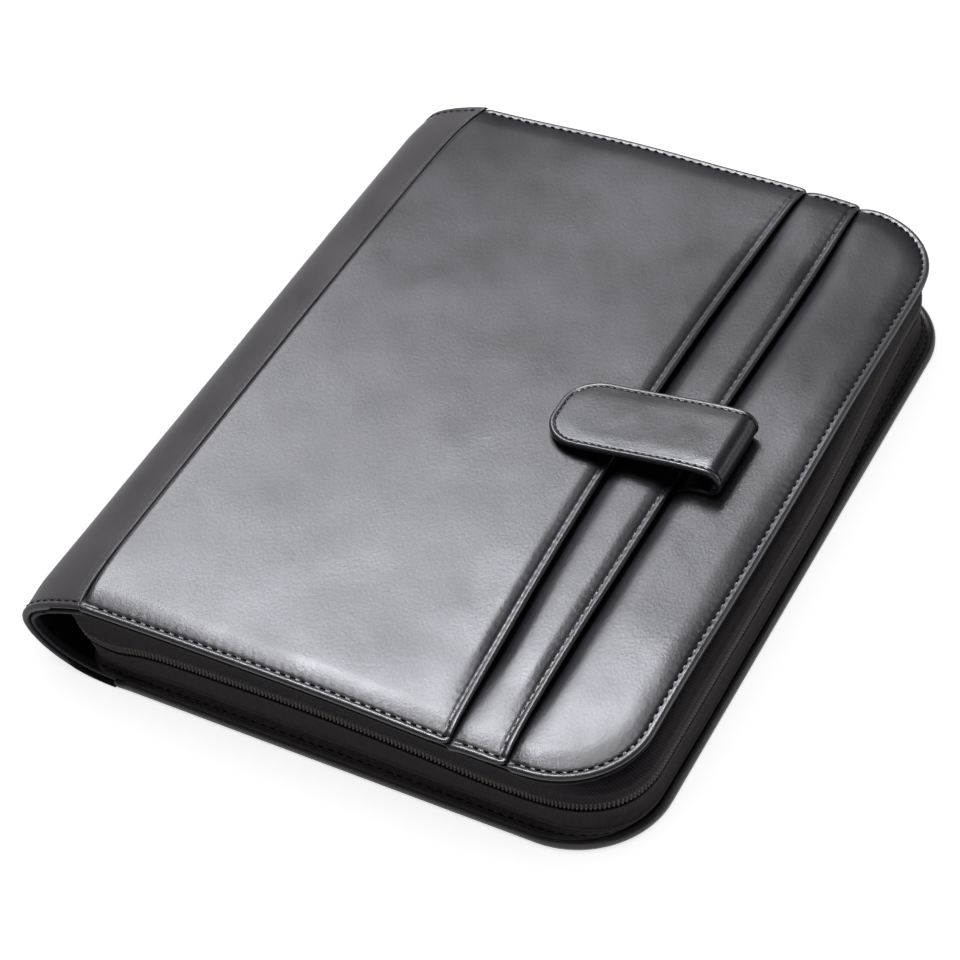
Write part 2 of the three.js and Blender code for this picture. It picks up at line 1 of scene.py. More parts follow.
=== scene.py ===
"""Looks of a zipped leather document case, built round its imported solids.

Lengths are millimetres until a mesh is made. X is measured from the seam between the spine panel and the
front panel towards the free edge, Y runs along the spine, and Z is the height above the floor. Every soft
piece is a fine mesh from the same dimensions as the solids, with its seams, puckers and turned edges shaped
by formula, so there is no simulation and each run gives the same result.
"""

import json
import math

import bpy
import numpy as np
from mathutils import Matrix, Vector

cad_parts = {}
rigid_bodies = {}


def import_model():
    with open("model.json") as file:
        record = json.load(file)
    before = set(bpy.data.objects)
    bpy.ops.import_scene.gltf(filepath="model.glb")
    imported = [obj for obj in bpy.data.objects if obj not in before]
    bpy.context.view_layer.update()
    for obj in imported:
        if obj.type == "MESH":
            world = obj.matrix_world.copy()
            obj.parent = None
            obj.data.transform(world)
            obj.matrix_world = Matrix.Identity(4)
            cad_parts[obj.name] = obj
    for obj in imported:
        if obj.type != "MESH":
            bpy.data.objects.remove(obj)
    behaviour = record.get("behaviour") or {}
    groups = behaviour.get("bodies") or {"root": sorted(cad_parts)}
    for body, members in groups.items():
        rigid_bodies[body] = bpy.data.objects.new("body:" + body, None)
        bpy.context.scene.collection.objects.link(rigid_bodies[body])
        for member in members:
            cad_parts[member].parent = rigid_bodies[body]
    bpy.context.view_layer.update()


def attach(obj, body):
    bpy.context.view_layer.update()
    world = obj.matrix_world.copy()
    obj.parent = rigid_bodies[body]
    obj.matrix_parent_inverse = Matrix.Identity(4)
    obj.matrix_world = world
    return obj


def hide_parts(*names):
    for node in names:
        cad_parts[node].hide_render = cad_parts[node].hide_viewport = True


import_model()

# Dimensions of the solids
CASE_LENGTH = 350.0
CASE_WIDTH = 273.0
RIM_HEIGHT = 43.5
CLEARANCE = 0.3
FRONT_RADIUS = 37.6
BACK_RADIUS = 39.8
FRONT_SETBACK = 5.7
PANEL_WALL = 3.0
LINING_WALL = 2.0
FLAP_WALL = 1.2
FOLD_WALL = 2.6
RIM_FOLD_WALL = 1.5
CLOTH_WALL = 1.2
LINING_INSET = 0.7
CROWN = 0.8
BORDER = 14.0
LINING_SINK = 3.8
LINING_SEAT = 7.0
LINING_START = 2.2
NOSE_REACH = 30.9
NOSE_HEIGHT = 22.6
NOSE_UP = 9.9
NOSE_DOWN = 8.6
SHOULDER_REACH = 15.0
SHOULDER_SLOPE = 0.33
SEAM_DROP = 0.3
HEEL_REACH = 16.0
HEEL_LAP = 12.0
SEAM_LAP = 10.0
SEAM_BOW = 3.2
HEEL_MARGIN = 4.0
FLAP_RUN = 3.0
FLAP_RISE = 7.0
OUTER_WIDTH = 47.6
STRIP_WIDTH = 29.1
MOUTH_LAP = 12.0
MOUTH_GAP = 2.0
MOUTH_RUN = 60.0
FOLD_FALL = 1.5
MOUTH_BOW = 8.0
GUSSET_INSET = 4.5
GUSSET_BULGE = 8.5
END_TURN = 7.0
END_LEAN = 0.5
END_LEAN_RUN = 32.0
FAR_SLACK = 0.3
ZIP_HEIGHT = 24.5
ZIP_RISE = 5.0
COIL_WIDTH = 4.8
COIL_THICKNESS = 1.5
TAPE_LAP = 3.0
TAPE_WALL = 1.0
STRAP_WIDTH = 39.8
STRAP_WALL = 2.6
STRAP_TAIL_WALL = 1.2
STRAP_TIP_RADIUS = 16.0
STRAP_REACH = 76.0
STRAP_LIFT = 2.8
STRAP_CENTRE = 1.2
CURL_RADIUS = 7.0
CURL_PLACE = 14.3
STRAP_TAIL = 9.0
SNAP_RADIUS = 7.0
SNAP_PLACE = 17.0
SLIDER_PLACE = 22.0

# Reliefs that differ from the solids by a few tenths of a millimetre, for the photograph's light and shade
SEAM_RISE = 2.0
SEAM_SHADOW = 0.6
FOLD_WIDTH = 9.0
RISE_WIDTH = 15.0
PILLOW_RISE = 0.6
PILLOW_RUN = 15.0
BEAD_RISE = 0.5
END_TAPER = 0.06
END_TAPER_RUN = 20.0

# across, along, reach and rise, as shares of the front's width, the case's length, that length and WAVE_RISE
WAVE_RISE = 2.0
COVER_WAVES = (
    (0.22, -0.5, 0.13, 0.8),
    (0.48, -0.5, 0.08, 0.45),
    (0.8, -0.5, 0.08, -0.45),
    (1.0, -0.31, 0.08, 0.8),
    (1.0, 0.15, 0.08, 0.8),
    (0.0, 0.5, 0.14, -0.9),
    (0.36, 0.5, 0.11, 1.4),
    (0.7, 0.5, 0.08, 1.1),
)
ZIP_WAVES = (
    (-0.04, -0.47, 0.02, 0.9),
    (0.03, -0.5, 0.035, -0.9),
    (0.42, -0.5, 0.11, 0.5),
    (0.78, -0.5, 0.05, -0.35),
)
# near share, near power, far share, far power
FIRST_BOW = (1.0, 1.7, 0.9, 3.0)
SECOND_BOW = (0.35, 6.0, 0.45, 1.0)
# level, stand-out on the ends, stand-out on the long side
UPPER_SECTION = ((0, 0, 0.84), (0.38, 0, 0.84), (0.75, 0, 0.55), (1, 0, 0.1))
LOWER_SECTION = (
    (0, 0.42, 0.66),
    (0.07, 0.34, 0.72),
    (0.24, 0, 0.97),
    (0.36, 0, 1),
    (0.7, 0, 0.84),
    (1, 0, 0.84),
)

# Sewing. The two phases set where along a mouth and round the spine the holes of a row begin.
STITCH_PITCH = 4.4
STITCH_LENGTH = 3.0
STITCH_MARGIN = 3.2
THREAD_RADIUS = 0.44
FINE_THREAD_RADIUS = 0.32
FOOT_THREAD_RADIUS = 0.3
THREAD_SINK = 0.20
MOUTH_THREAD_SINK = 0.22
BACK_THREAD_SINK = 0.38
STRAP_THREAD_SINK = 0.62
MOUTH_PHASE = 700.0
SPINE_PHASE = 3.0
FLAP_STITCH_PITCH = 3.4
FLAP_STITCH_LENGTH = 2.3
FLAP_THREAD_RADIUS = 0.24
FLAP_STITCH_MARGIN = 1.7
STRAP_STITCH_PITCH = 3.3
STRAP_STITCH_LENGTH = 2.35
STRAP_STITCH_MARGIN = 2.7
BACK_STITCH_MARGIN = STITCH_MARGIN + 1.0
FOOT_SEAM_LEVEL = 0.13
FOOT_SINK = 0.2
HEM_WIDTH = 11.0
BACK_LINING_START = 14.5
BACK_LINING_INSET = 12.6
COIL_PITCH = 1.7
RIB_PITCH = 1.5
RIB_LEAN = 0.56
THREAD_PITCH = 0.55

HALF = CASE_LENGTH / 2
BACK_EDGE = CASE_WIDTH - NOSE_REACH
FRONT_EDGE = BACK_EDGE - FRONT_SETBACK
BACK_TOP = PANEL_WALL + CLEARANCE + LINING_WALL
SECOND_MOUTH = FRONT_EDGE - OUTER_WIDTH
FIRST_MOUTH = SECOND_MOUTH - STRIP_WIDTH
SHIFT = np.array([NOSE_REACH - CASE_WIDTH / 2, 0.0, 0.0])
SLOT_HALF = COIL_WIDTH / 2 + 2 * CLEARANCE
# A rim is its free edge, half its length and the radius of its corners
FRONT_RIM = (FRONT_EDGE, HALF, FRONT_RADIUS)
BACK_RIM = (BACK_EDGE, HALF, BACK_RADIUS)


# Small tools


def ease(value, width):
    t = np.clip(np.asarray(value, float) / width, 0.0, 1.0)
    return t * t * (3.0 - 2.0 * t)


def lerp(a, b, t):
    return a + (b - a) * t


def bump(value, width):
    return np.exp(-((np.asarray(value, float) / width) ** 2))


def noise(x, y, size, seed, octaves=1):
    """Smooth noise between about -1 and 1, with features of the given size"""
    cells, total, weight = 64, 0.0, 0.0
    for octave in range(octaves):
        table = np.random.RandomState(seed + octave).uniform(-1, 1, (cells, cells))
        u, v = np.asarray(x) / size * 2**octave, np.asarray(y) / size * 2**octave
        i, j = np.floor(u).astype(int), np.floor(v).astype(int)
        fu, fv = ease(u - i, 1.0), ease(v - j, 1.0)
        i, j, i1, j1 = i % cells, j % cells, (i + 1) % cells, (j + 1) % cells
        low = lerp(table[i, j], table[i1, j], fu)
        high = lerp(table[i, j1], table[i1, j1], fu)
        total = total + lerp(low, high, fv) * 0.5**octave
        weight += 0.5**octave
    return total / weight


def graded(length, step, fine, run, both=True):
    """Places from 0 to length: fine steps over a run at the ends, and about step between"""
    head = np.arange(0, run, fine)
    end = length - run if both else length
    middle = np.linspace(run, end, max(2, int(round((end - run) / step)) + 1))
    tail = (length - head)[::-1] if both else []
    return np.concatenate([head, middle, tail])


def travel(line):
    """Length along a line at each of its points"""
    return np.concatenate([[0], np.cumsum(np.linalg.norm(np.diff(line, axis=0), axis=1))])


def smoothed(curve, reach, width):
    """A curve averaged over a reach of samples to each side"""
    kernel = bump(np.arange(-reach, reach + 1), width)
    padded = np.concatenate([np.full(reach, curve[0]), curve, np.full(reach, curve[-1])])
    return np.convolve(padded, kernel / kernel.sum(), "valid")


def outward(line):
    """Directions square to a closed line, away from what it goes round"""
    ahead = np.roll(line, -1, 0) - np.roll(line, 1, 0)
    out = np.stack([ahead[:, 1], -ahead[:, 0]], 1)
    return out / np.linalg.norm(out, axis=1, keepdims=True)


# Shape of the covers


def ripple(x, y, waves=COVER_WAVES, rise=WAVE_RISE):
    height = 0.0
    for across, along, reach, share in waves:
        away = np.hypot(x - across * FRONT_EDGE, y - along * CASE_LENGTH)
        height = height + rise * share * np.exp(-0.5 * (away / (reach * CASE_LENGTH)) ** 2)
    return height


def rim_distance(x, y, edge=FRONT_EDGE, half=HALF, radius=FRONT_RADIUS):
    across, along = edge - x, half - np.abs(y)
    corner = radius - np.hypot(radius - across, radius - along)
    straight = np.minimum(across, along)
    return np.where((across > radius) | (along > radius), straight, corner)


def rim_arc(x, y, edge=FRONT_EDGE, half=HALF, radius=FRONT_RADIUS):
    """Length along the rim from the seam's near end to the place of the rim nearest to a point"""
    cx, cy = edge - radius, half - radius
    quarter = radius * math.pi / 2
    near_corner = cx + radius * np.arctan2(x - cx, -(y + cy))
    free = cx + quarter + y + cy
    far_corner = cx + quarter + 2 * cy + radius * np.arctan2(y - cy, x - cx)
    far = cx + 2 * quarter + 2 * cy + (cx - x)
    along = np.where(y < 0, x, far)
    side = np.where(edge - x < half - np.abs(y), free, along)
    side = np.where((x > cx) & (y < -cy), near_corner, side)
    return np.where((x > cx) & (y > cy), far_corner, side)


def mouth_x(middle, bow, y):
    share = np.abs(y) / HALF
    return middle + MOUTH_BOW * np.where(y < 0, bow[0] * share ** bow[1], bow[2] * share ** bow[3])


def first_mouth(y):
    return mouth_x(FIRST_MOUTH, FIRST_BOW, y)


def second_mouth(y):
    return mouth_x(SECOND_MOUTH, SECOND_BOW, y)


def open_share(y):
    return ease(HALF - np.abs(y), MOUTH_RUN)


def fold_wall(y):
    return lerp(RIM_FOLD_WALL, FOLD_WALL, open_share(y))


def fold_drop(to_mouth, y):
    return FOLD_FALL * open_share(y) * (1 - ease(to_mouth, FOLD_WIDTH))


def tuck_drop(past, y):
    depth = fold_wall(y) + FOLD_FALL * open_share(y) + lerp(CLEARANCE, MOUTH_GAP, open_share(y))
    return depth * (1 - np.clip(past / RISE_WIDTH, 0, 1)) ** 3


def front_height(x, y):
    return RIM_HEIGHT + ripple(x, y) + CROWN * ease(rim_distance(x, y), BORDER)


def bezier(points, share):
    a, b, c, d = (np.array(p, float) for p in points)
    t = np.asarray(share, float)[:, None]
    return a * (1 - t) ** 3 + 3 * b * t * (1 - t) ** 2 + 3 * c * t**2 * (1 - t) + d * t**3


NOSE = (-NOSE_REACH, NOSE_HEIGHT)
SEAM_HEIGHT = RIM_HEIGHT - SEAM_DROP
SHOULDER = bezier(
    (
        (0, SEAM_HEIGHT),
        (-SHOULDER_REACH, SEAM_HEIGHT - SHOULDER_REACH * SHOULDER_SLOPE),
        (-NOSE_REACH, NOSE_HEIGHT + NOSE_UP),
        NOSE,
    ),
    np.linspace(0, 1, 1201),
)
SEAM_LEAD = np.linspace(6.0, 0.0, 61)[:-1]
LEAD_HEIGHT = SEAM_HEIGHT + SHOULDER_SLOPE * SEAM_LEAD * (1 - SEAM_LEAD / 12.0)
SHOULDER = np.concatenate([np.stack([SEAM_LEAD, LEAD_HEIGHT], 1), SHOULDER])
HEEL = bezier(
    (NOSE, (-NOSE_REACH, NOSE_HEIGHT - NOSE_DOWN), (-HEEL_REACH, 0), (HEEL_LAP, 0)),
    np.linspace(0, 1, 1201),
)


def shoulder_at(x):
    return np.interp(x, SHOULDER[::-1, 0], SHOULDER[::-1, 1])


def heel_at(x):
    return np.interp(x, HEEL[:, 0], HEEL[:, 1])


def seam_x(y):
    """The seam is nearly straight and turns towards the front panel close to its ends"""
    share = np.abs(y) / HALF
    return -SEAM_BOW + SEAM_BOW * 0.35 * share**2 + np.where(y < 0, 4.9, 7.0) * share**14


def spine_scale(y):
    return (RIM_HEIGHT + ripple(0.0, y)) / RIM_HEIGHT


def shoulder_height(x, y):
    return shoulder_at(x) * spine_scale(y)


SEAM_TUCK = (FLAP_WALL + CLEARANCE) * math.hypot(1, SHOULDER_SLOPE)


def seam_tuck(y):
    """Depth of the front panel under the spine's flap, pressed together at the seam's ends"""
    return SEAM_TUCK * (1 - 0.75 * ease(np.abs(y) - (HALF - 10.0), 8.0))


def front_panel_top(x, y):
    past = x - seam_x(y)
    flat = front_height(x, y) - fold_drop(first_mouth(y) - x, y)
    low = np.minimum(flat, shoulder_height(seam_x(y), y)) - seam_tuck(y)
    risen = lerp(low, flat, ease(past - SEAM_SHADOW, SEAM_RISE))
    return np.where(past <= 0, shoulder_height(np.minimum(x, 0), y) - seam_tuck(y), risen)


def strip_top(x, y):
    return front_height(x, y) - tuck_drop(x - first_mouth(y), y) - fold_drop(second_mouth(y) - x, y)


def outer_panel_top(x, y):
    return front_height(x, y) - tuck_drop(x - second_mouth(y), y)


def lining_top(x, y):
    inside = np.minimum(rim_distance(x, y) - LINING_INSET, x - LINING_START)
    sink = LINING_SINK * ease(inside - LINING_SEAT, BORDER)
    return RIM_HEIGHT + ripple(x, y) - PANEL_WALL - CLEARANCE - sink


# Sewing and padding, added to those shapes


def seam_detail(distance, along, strength=1.0, seed=1):
    """Height of a sewn border: a bead at the edge, a groove with holes, and puckers beside it"""
    q = distance - STITCH_MARGIN
    phase = 2 * math.pi * along / STITCH_PITCH
    uneven = 1 + 0.6 * noise(along, 0 * along, 9.0, seed)
    hole = (0.5 + 0.5 * np.cos(phase)) ** 3
    height = 0.24 * bump(q + 1.9, 1.25) - 0.02 * np.cos(phase) * bump(q + 1.2, 0.8)
    height = height - 0.24 * bump(q, 0.8) - 0.16 * hole * bump(q, 0.8)
    height = height - 0.05 * uneven * np.cos(phase) * bump(q - 1.8, 1.6)
    pucker = noise(along, 0 * along, 8.0, seed + 3) * bump(q - 4.0, 4.0)
    return strength * (height + 0.05 * pucker)


def mouth_bead(distance):
    """Rise of a pocket's turned edge from its row of stitches to the fold"""
    return BEAD_RISE * (1 - ease(distance - 0.4, STITCH_MARGIN - 0.4))


def pillow(distance):
    """The filling's rise from a sewn border"""
    rise = 1 - (1 - np.clip((distance - STITCH_MARGIN + 1.0) / PILLOW_RUN, 0, 1)) ** 3
    return PILLOW_RISE * rise - 0.12 * bump(distance - STITCH_MARGIN, 2.6) - 0.05


def slack(x, y):
    """Unevenness of padded leather, within a third of a millimetre"""
    broad = 0.23 * noise(x + 300, y * 0.8 + 400, 34.0, 21, 2)
    streaks = 0.07 * noise((x + 300) * 0.9 + y * 0.35, (y + 400) * 0.45 - x * 0.2, 9.0, 31, 2)
    return broad + streaks


# Mesh making


def make(name, verts, faces, rings=(), material=None, uv=None, wear_and_light=None):
    """A mesh object from points in millimetres, rows of three or four corners, and longer rings"""
    mesh = bpy.data.meshes.new(name)
    mesh.vertices.add(len(verts))
    mesh.vertices.foreach_set("co", ((verts + SHIFT) / 1000.0).ravel())
    loops, starts, at = [], [], 0
    for block in faces:
        loops.append(block.ravel())
        starts.append(at + block.shape[1] * np.arange(len(block)))
        at += block.size
    for ring in rings:
        loops.append(ring)
        starts.append([at])
        at += len(ring)
    loops, starts = np.concatenate(loops), np.concatenate(starts)
    mesh.loops.add(len(loops))
    mesh.loops.foreach_set("vertex_index", loops)
    mesh.polygons.add(len(starts))
    mesh.polygons.foreach_set("loop_start", starts)
    mesh.update(calc_edges=True)
    mesh.validate()
    mesh.shade_smooth()
    if uv is not None:
        layer = mesh.uv_layers.new(name="UVMap")
        index = np.zeros(len(mesh.loops), int)
        mesh.loops.foreach_get("vertex_index", index)
        layer.data.foreach_set("uv", uv[index].ravel())
    # Per-point mask for paler colour: on leather edges partly worn leather and partly painted highlight, in
    # the spine's lining painted shade, on the coil painted highlight on its crests
    shade = mesh.attributes.new("wear_and_light", "FLOAT", "POINT")
    shade.data.foreach_set("value", np.zeros(len(verts)) if wear_and_light is None else wear_and_light)
    piece = bpy.data.objects.new(name, mesh)
    bpy.context.scene.collection.objects.link(piece)
    mesh.materials.append(material)
    return piece


def grid_faces(rows, columns, offset=0, flip=False):
    index = offset + np.arange(rows * columns).reshape(rows, columns)
    a, b, c, d = index[:-1, :-1], index[:-1, 1:], index[1:, 1:], index[1:, :-1]
    corners = (a, d, c, b) if flip else (a, b, c, d)
    return np.stack(corners, -1).reshape(-1, 4)


def border(rows, columns):
    """Indices round the border of a grid, with row 0 first"""
    index = np.arange(rows * columns).reshape(rows, columns)
    return np.concatenate([index[0, :-1], index[:-1, -1], index[-1, :0:-1], index[:0:-1, 0]])


def strip_faces(first, second):
    return np.stack([first, second, np.roll(second, -1), np.roll(first, -1)], -1)


def rolled(name, x, y, z, roll, thickness, wear_and_light, steps=7):
    """A panel: a fine upper face whose border rolls over to an underside with fewer columns"""
    top, wear_and_light = np.stack([x, y, z], -1), np.clip(wear_and_light, 0, 1).reshape(-1)
    rows, columns = x.shape
    loop = border(rows, columns)
    edge = top.reshape(-1, 3)[loop]
    out, radius = outward(edge), roll.reshape(-1)[loop][:, None]
    points, faces, shades = [top.reshape(-1, 3)], [grid_faces(rows, columns)], [wear_and_light]
    previous, count = loop, rows * columns
    for step in range(1, steps + 1):
        angle = math.pi * step / steps
        ring = edge.copy()
        ring[:, :2] += out * radius * math.sin(angle)
        ring[:, 2:] -= radius * (1 - math.cos(angle))
        current = count + np.arange(len(loop))
        points.append(ring)
        shades.append(wear_and_light[loop] * max(0.0, math.cos(angle / 2)))
        faces.append(strip_faces(previous, current))
        previous, count = current, count + len(loop)

    last, close = columns - 1, np.array([0, 5, 10])
    keep = np.unique(np.concatenate([close, np.linspace(15, last - 15, 9).astype(int), last - close]))
    under = top[:, keep].copy()
    under[..., 2] -= thickness[:, keep]
    whole = np.full(rows * columns, -1)
    whole[loop] = previous
    whole = whole.reshape(rows, columns)
    index = whole[:, keep].copy()
    inside = index[1:-1, 1:-1]
    index[1:-1, 1:-1] = count + np.arange(inside.size).reshape(inside.shape)
    points.append(under[1:-1, 1:-1].reshape(-1, 3))
    shades.append(np.zeros(inside.size))
    a, b, c, d = index[1:-2, :-1], index[1:-2, 1:], index[2:-1, 1:], index[2:-1, :-1]
    faces.append(np.stack([a, d, c, b], -1).reshape(-1, 4))
    rings = []
    for k in range(len(keep) - 1):
        run = slice(keep[k], keep[k + 1] + 1)
        rings.append(np.concatenate([whole[0, run], index[1, [k + 1, k]]])[::-1])
        rings.append(np.concatenate([index[-2, [k, k + 1]], whole[-1, run][::-1]])[::-1])
    return make(name, np.concatenate(points), faces, rings, COVER_LEATHER, None, np.concatenate(shades))


def wall(name, outer, inner, material, uv=None, wear_and_light=None, flip=False):
    """A closed wall between two grids of the same size"""
    rows, columns = outer.shape[:2]
    total = rows * columns
    loop = border(rows, columns)
    faces = [
        grid_faces(rows, columns, 0, flip),
        grid_faces(rows, columns, total, not flip),
        strip_faces(loop + total, loop) if flip else strip_faces(loop, loop + total),
    ]
    points = np.concatenate([outer.reshape(-1, 3), inner.reshape(-1, 3)])
    if uv is not None:
        uv = np.concatenate([uv.reshape(-1, 2)] * 2)
    if wear_and_light is not None:
        wear_and_light = np.concatenate([wear_and_light.reshape(-1)] * 2)
    return make(name, points, faces, (), material, uv, wear_and_light)


def bullnose(distance, radius):
    """Height lost at a rounded edge"""
    d = np.clip(distance, 0, radius)
    return radius - np.sqrt(np.maximum(radius**2 - (radius - d) ** 2, 0))


# Materials


def new_material(name):
    material = bpy.data.materials.new(name)
    material.use_nodes = True
    return material, material.node_tree, material.node_tree.nodes["Principled BSDF"]


def connect(tree, value, socket):
    if isinstance(value, bpy.types.NodeSocket):
        tree.links.new(value, socket)
    else:
        socket.default_value = value


def node(tree, kind, inputs=None, output=0, **settings):
    """The output of a new node with the given inputs and settings"""
    item = tree.nodes.new(kind)
    for key, value in settings.items():
        setattr(item, key, value)
    for key, value in (inputs or {}).items():
        connect(tree, value, item.inputs[key])
    return item.outputs[output]


def mix_colour(tree, share, first, second):
    return node(tree, "ShaderNodeMix", {0: share, 6: first, 7: second}, 2, data_type="RGBA")


def value_map(tree, value, low, high, to_low, to_high):
    return node(tree, "ShaderNodeMapRange", {0: value, 1: low, 2: high, 3: to_low, 4: to_high})


def clouded(tree, place, scale, detail, **inputs):
    return node(tree, "ShaderNodeTexNoise", {"Vector": place, "Scale": scale, "Detail": detail, **inputs})


def bumped(tree, height, strength, distance, **below):
    inputs = {"Height": height, "Strength": strength, "Distance": distance}
    return node(tree, "ShaderNodeBump", {**inputs, **below})


def object_place(tree):
    return node(tree, "ShaderNodeTexCoord", output="Object")


def wear_and_light_of(tree):
    return node(tree, "ShaderNodeAttribute", output="Fac", attribute_name="wear_and_light")


def dress(shader, tree, base, roughness, specular, normal=None):
    connect(tree, base, shader.inputs["Base Color"])
    connect(tree, roughness, shader.inputs["Roughness"])
    if normal is not None:
        connect(tree, normal, shader.inputs["Normal"])
    shader.inputs["Specular IOR Level"].default_value = specular


def colour(red, green, blue):
    return (red, green, blue, 1.0)


def grey(level):
    return colour(level, level, level)


# Paler colour of edges and beads: partly worn leather, partly painted highlight where edges catch the light
RUBBED_AND_LIT_EDGE = colour(0.030, 0.028, 0.032)


def leather(name, dark, light, rough, specular, grain=1.0):
    """Smooth leather: fine pebbles and pores, soft creases, uneven shine, and edges made paler, partly as
    worn leather and partly as painted highlight
    """
    material, tree, shader = new_material(name)
    place, wear_and_light = object_place(tree), wear_and_light_of(tree)
    cells = {"Vector": place, "Scale": 900.0, "Randomness": 1.0}
    pebbles = node(tree, "ShaderNodeTexVoronoi", cells, "Distance", feature="SMOOTH_F1")
    pores = clouded(tree, place, 1500.0, 2.0)
    creases = clouded(tree, place, 210.0, 5.0, Distortion=1.2)
    clouds = clouded(tree, place, 26.0, 4.0)
    base = mix_colour(tree, value_map(tree, clouds, 0.35, 0.68, 0.0, 1.0), dark, light)
    # Edges go paler by the mask: painted highlight, partly worn leather
    base = mix_colour(tree, wear_and_light, base, RUBBED_AND_LIT_EDGE)
    gloss = value_map(tree, clouds, 0.3, 0.7, rough - 0.055, rough + 0.055)
    worn = node(tree, "ShaderNodeMath", {0: wear_and_light, 1: 0.08}, operation="MULTIPLY")
    gloss = node(tree, "ShaderNodeMath", {0: gloss, 1: worn}, operation="SUBTRACT")
    normal = bumped(tree, creases, 0.16 * grain, 0.00022)
    normal = bumped(tree, pebbles, 0.4 * grain, 0.0001, Normal=normal)
    normal = bumped(tree, pores, 0.30 * grain, 0.00006, Normal=normal)
    dress(shader, tree, base, gloss, specular, normal)
    return material


def ribbed_cloth(name, dark, light, pitch, tilt=0.0, sheen=0.03):
    """Ribbed cloth, on a mesh whose UV is in millimetres: along the zip and up"""
    material, tree, shader = new_material(name)
    place = node(tree, "ShaderNodeUVMap", uv_map="UVMap")
    turned = node(tree, "ShaderNodeMapping", {"Vector": place, "Rotation": (0, 0, tilt)})
    across = {"Vector": turned, "Scale": 1 / (pitch * math.pi), "Distortion": 0.6}
    across.update({"Detail": 2.0, "Detail Scale": 1.2})
    ribs = node(tree, "ShaderNodeTexWave", across, wave_type="BANDS", bands_direction="X")
    along = {"Vector": place, "Scale": 1 / (THREAD_PITCH * math.pi), "Distortion": 0.4}
    threads = node(tree, "ShaderNodeTexWave", along, wave_type="BANDS", bands_direction="Y")
    lint = clouded(tree, place, 0.35, 5.0)
    fibres = clouded(tree, place, 4.0, 3.0)
    weave = node(tree, "ShaderNodeMath", {0: ribs, 1: threads}, operation="ADD")
    base = mix_colour(tree, value_map(tree, weave, 0.3, 1.6, 0.0, 1.0), dark, light)
    base = mix_colour(tree, value_map(tree, lint, 0.4, 0.75, 0.0, 0.5), base, light)
    normal = bumped(tree, weave, 0.7, 0.0002)
    normal = bumped(tree, fibres, 0.35, 0.0001, Normal=normal)
    dress(shader, tree, base, value_map(tree, fibres, 0.3, 0.7, 0.68, 0.86), 0.12, normal)
    shader.inputs["Sheen Weight"].default_value = sheen
    shader.inputs["Sheen Roughness"].default_value = 0.5
    return material


def thread_material(name, dark, light):
    material, tree, shader = new_material(name)
    place = object_place(tree)
    twist = {"Vector": place, "Scale": 560.0, "Distortion": 1.5, "Detail": 1.0}
    plies = node(tree, "ShaderNodeTexWave", twist, bands_direction="DIAGONAL")
    rough = value_map(tree, clouded(tree, place, 160.0, 3.0), 0.3, 0.7, 0.65, 0.85)
    dress(shader, tree, mix_colour(tree, plies, dark, light), rough, 0.12, bumped(tree, plies, 0.5, 0.0001))
    return material


# Nylon painted from dark to light by the per-point mask; the light colour is a painted highlight
def nylon_material(name, dark, light):
    material, tree, shader = new_material(name)
    rough = value_map(tree, clouded(tree, object_place(tree), 90.0, 3.0), 0.3, 0.7, 0.4, 0.52)
    dress(shader, tree, mix_colour(tree, wear_and_light_of(tree), dark, light), rough, 0.25)
    return material


def metal_material(name, light, rough):
    material, tree, shader = new_material(name)
    place = object_place(tree)
    clouds = clouded(tree, place, 120.0, 4.0)
    dark = colour(*(0.6 * part for part in light[:3]))
    base = mix_colour(tree, value_map(tree, clouds, 0.3, 0.7, 0.0, 1.0), dark, light)
    gloss = value_map(tree, clouds, 0.3, 0.7, rough - 0.06, rough + 0.1)
    dress(shader, tree, base, gloss, 0.5, bumped(tree, clouded(tree, place, 900.0, 2.0), 0.15, 0.00005))
    shader.inputs["Metallic"].default_value = 1.0
    return material


COVER_LEATHER = leather("cover_leather", colour(0.007, 0.007, 0.009), colour(0.011, 0.011, 0.014), 0.36, 0.5)
# The spine's leather is painted about three times paler than the cover's black leather: painted light on the
# spine's sloping sides
LIT_SPINE_LEATHER = leather("lit_spine_leather", colour(0.022, 0.020, 0.021), colour(0.032, 0.029, 0.031), 0.46, 0.33)
BACK_LEATHER = leather("back_leather", colour(0.009, 0.008, 0.009), colour(0.014, 0.013, 0.014), 0.40, 0.45)
# Lining leather darker than the cover's: its near-black base is painted shade in the hollows the linings sit
# in
SHADED_LINING_LEATHER = leather("shaded_lining_leather", grey(0.003), colour(0.006, 0.005, 0.006), 0.6, 0.14, 0.6)
CLOTH_DARK = colour(0.0044, 0.0035, 0.0042)
UPPER_CLOTH = ribbed_cloth("gusset_cloth", CLOTH_DARK, colour(0.019, 0.0155, 0.018), 1.3, math.radians(-32))
FOOT_DARK, FOOT_LIGHT = colour(0.007, 0.0056, 0.006), colour(0.026, 0.021, 0.022)
LOWER_CLOTH = ribbed_cloth("gusset_foot_cloth", FOOT_DARK, FOOT_LIGHT, 0.9)
TAPE_CLOTH = ribbed_cloth("zip_tape_cloth", colour(0.003, 0.0027, 0.003), CLOTH_DARK, 0.8, sheen=0.0)
SPINE_THREAD = thread_material("spine_thread", grey(0.06), grey(0.20))
THREAD = thread_material("black_thread", grey(0.002), grey(0.008))
# Coil nylon: the light colour is a painted highlight on the crests of the turns
NYLON_LIT_CRESTS = nylon_material("coil_nylon_lit_crests", grey(0.001), colour(0.060, 0.055, 0.050))
DARK_METAL = metal_material("dark_metal", colour(0.20, 0.20, 0.21), 0.32)


# Covers


def column_shares(line):
    place = travel(line)
    return place / place[-1]


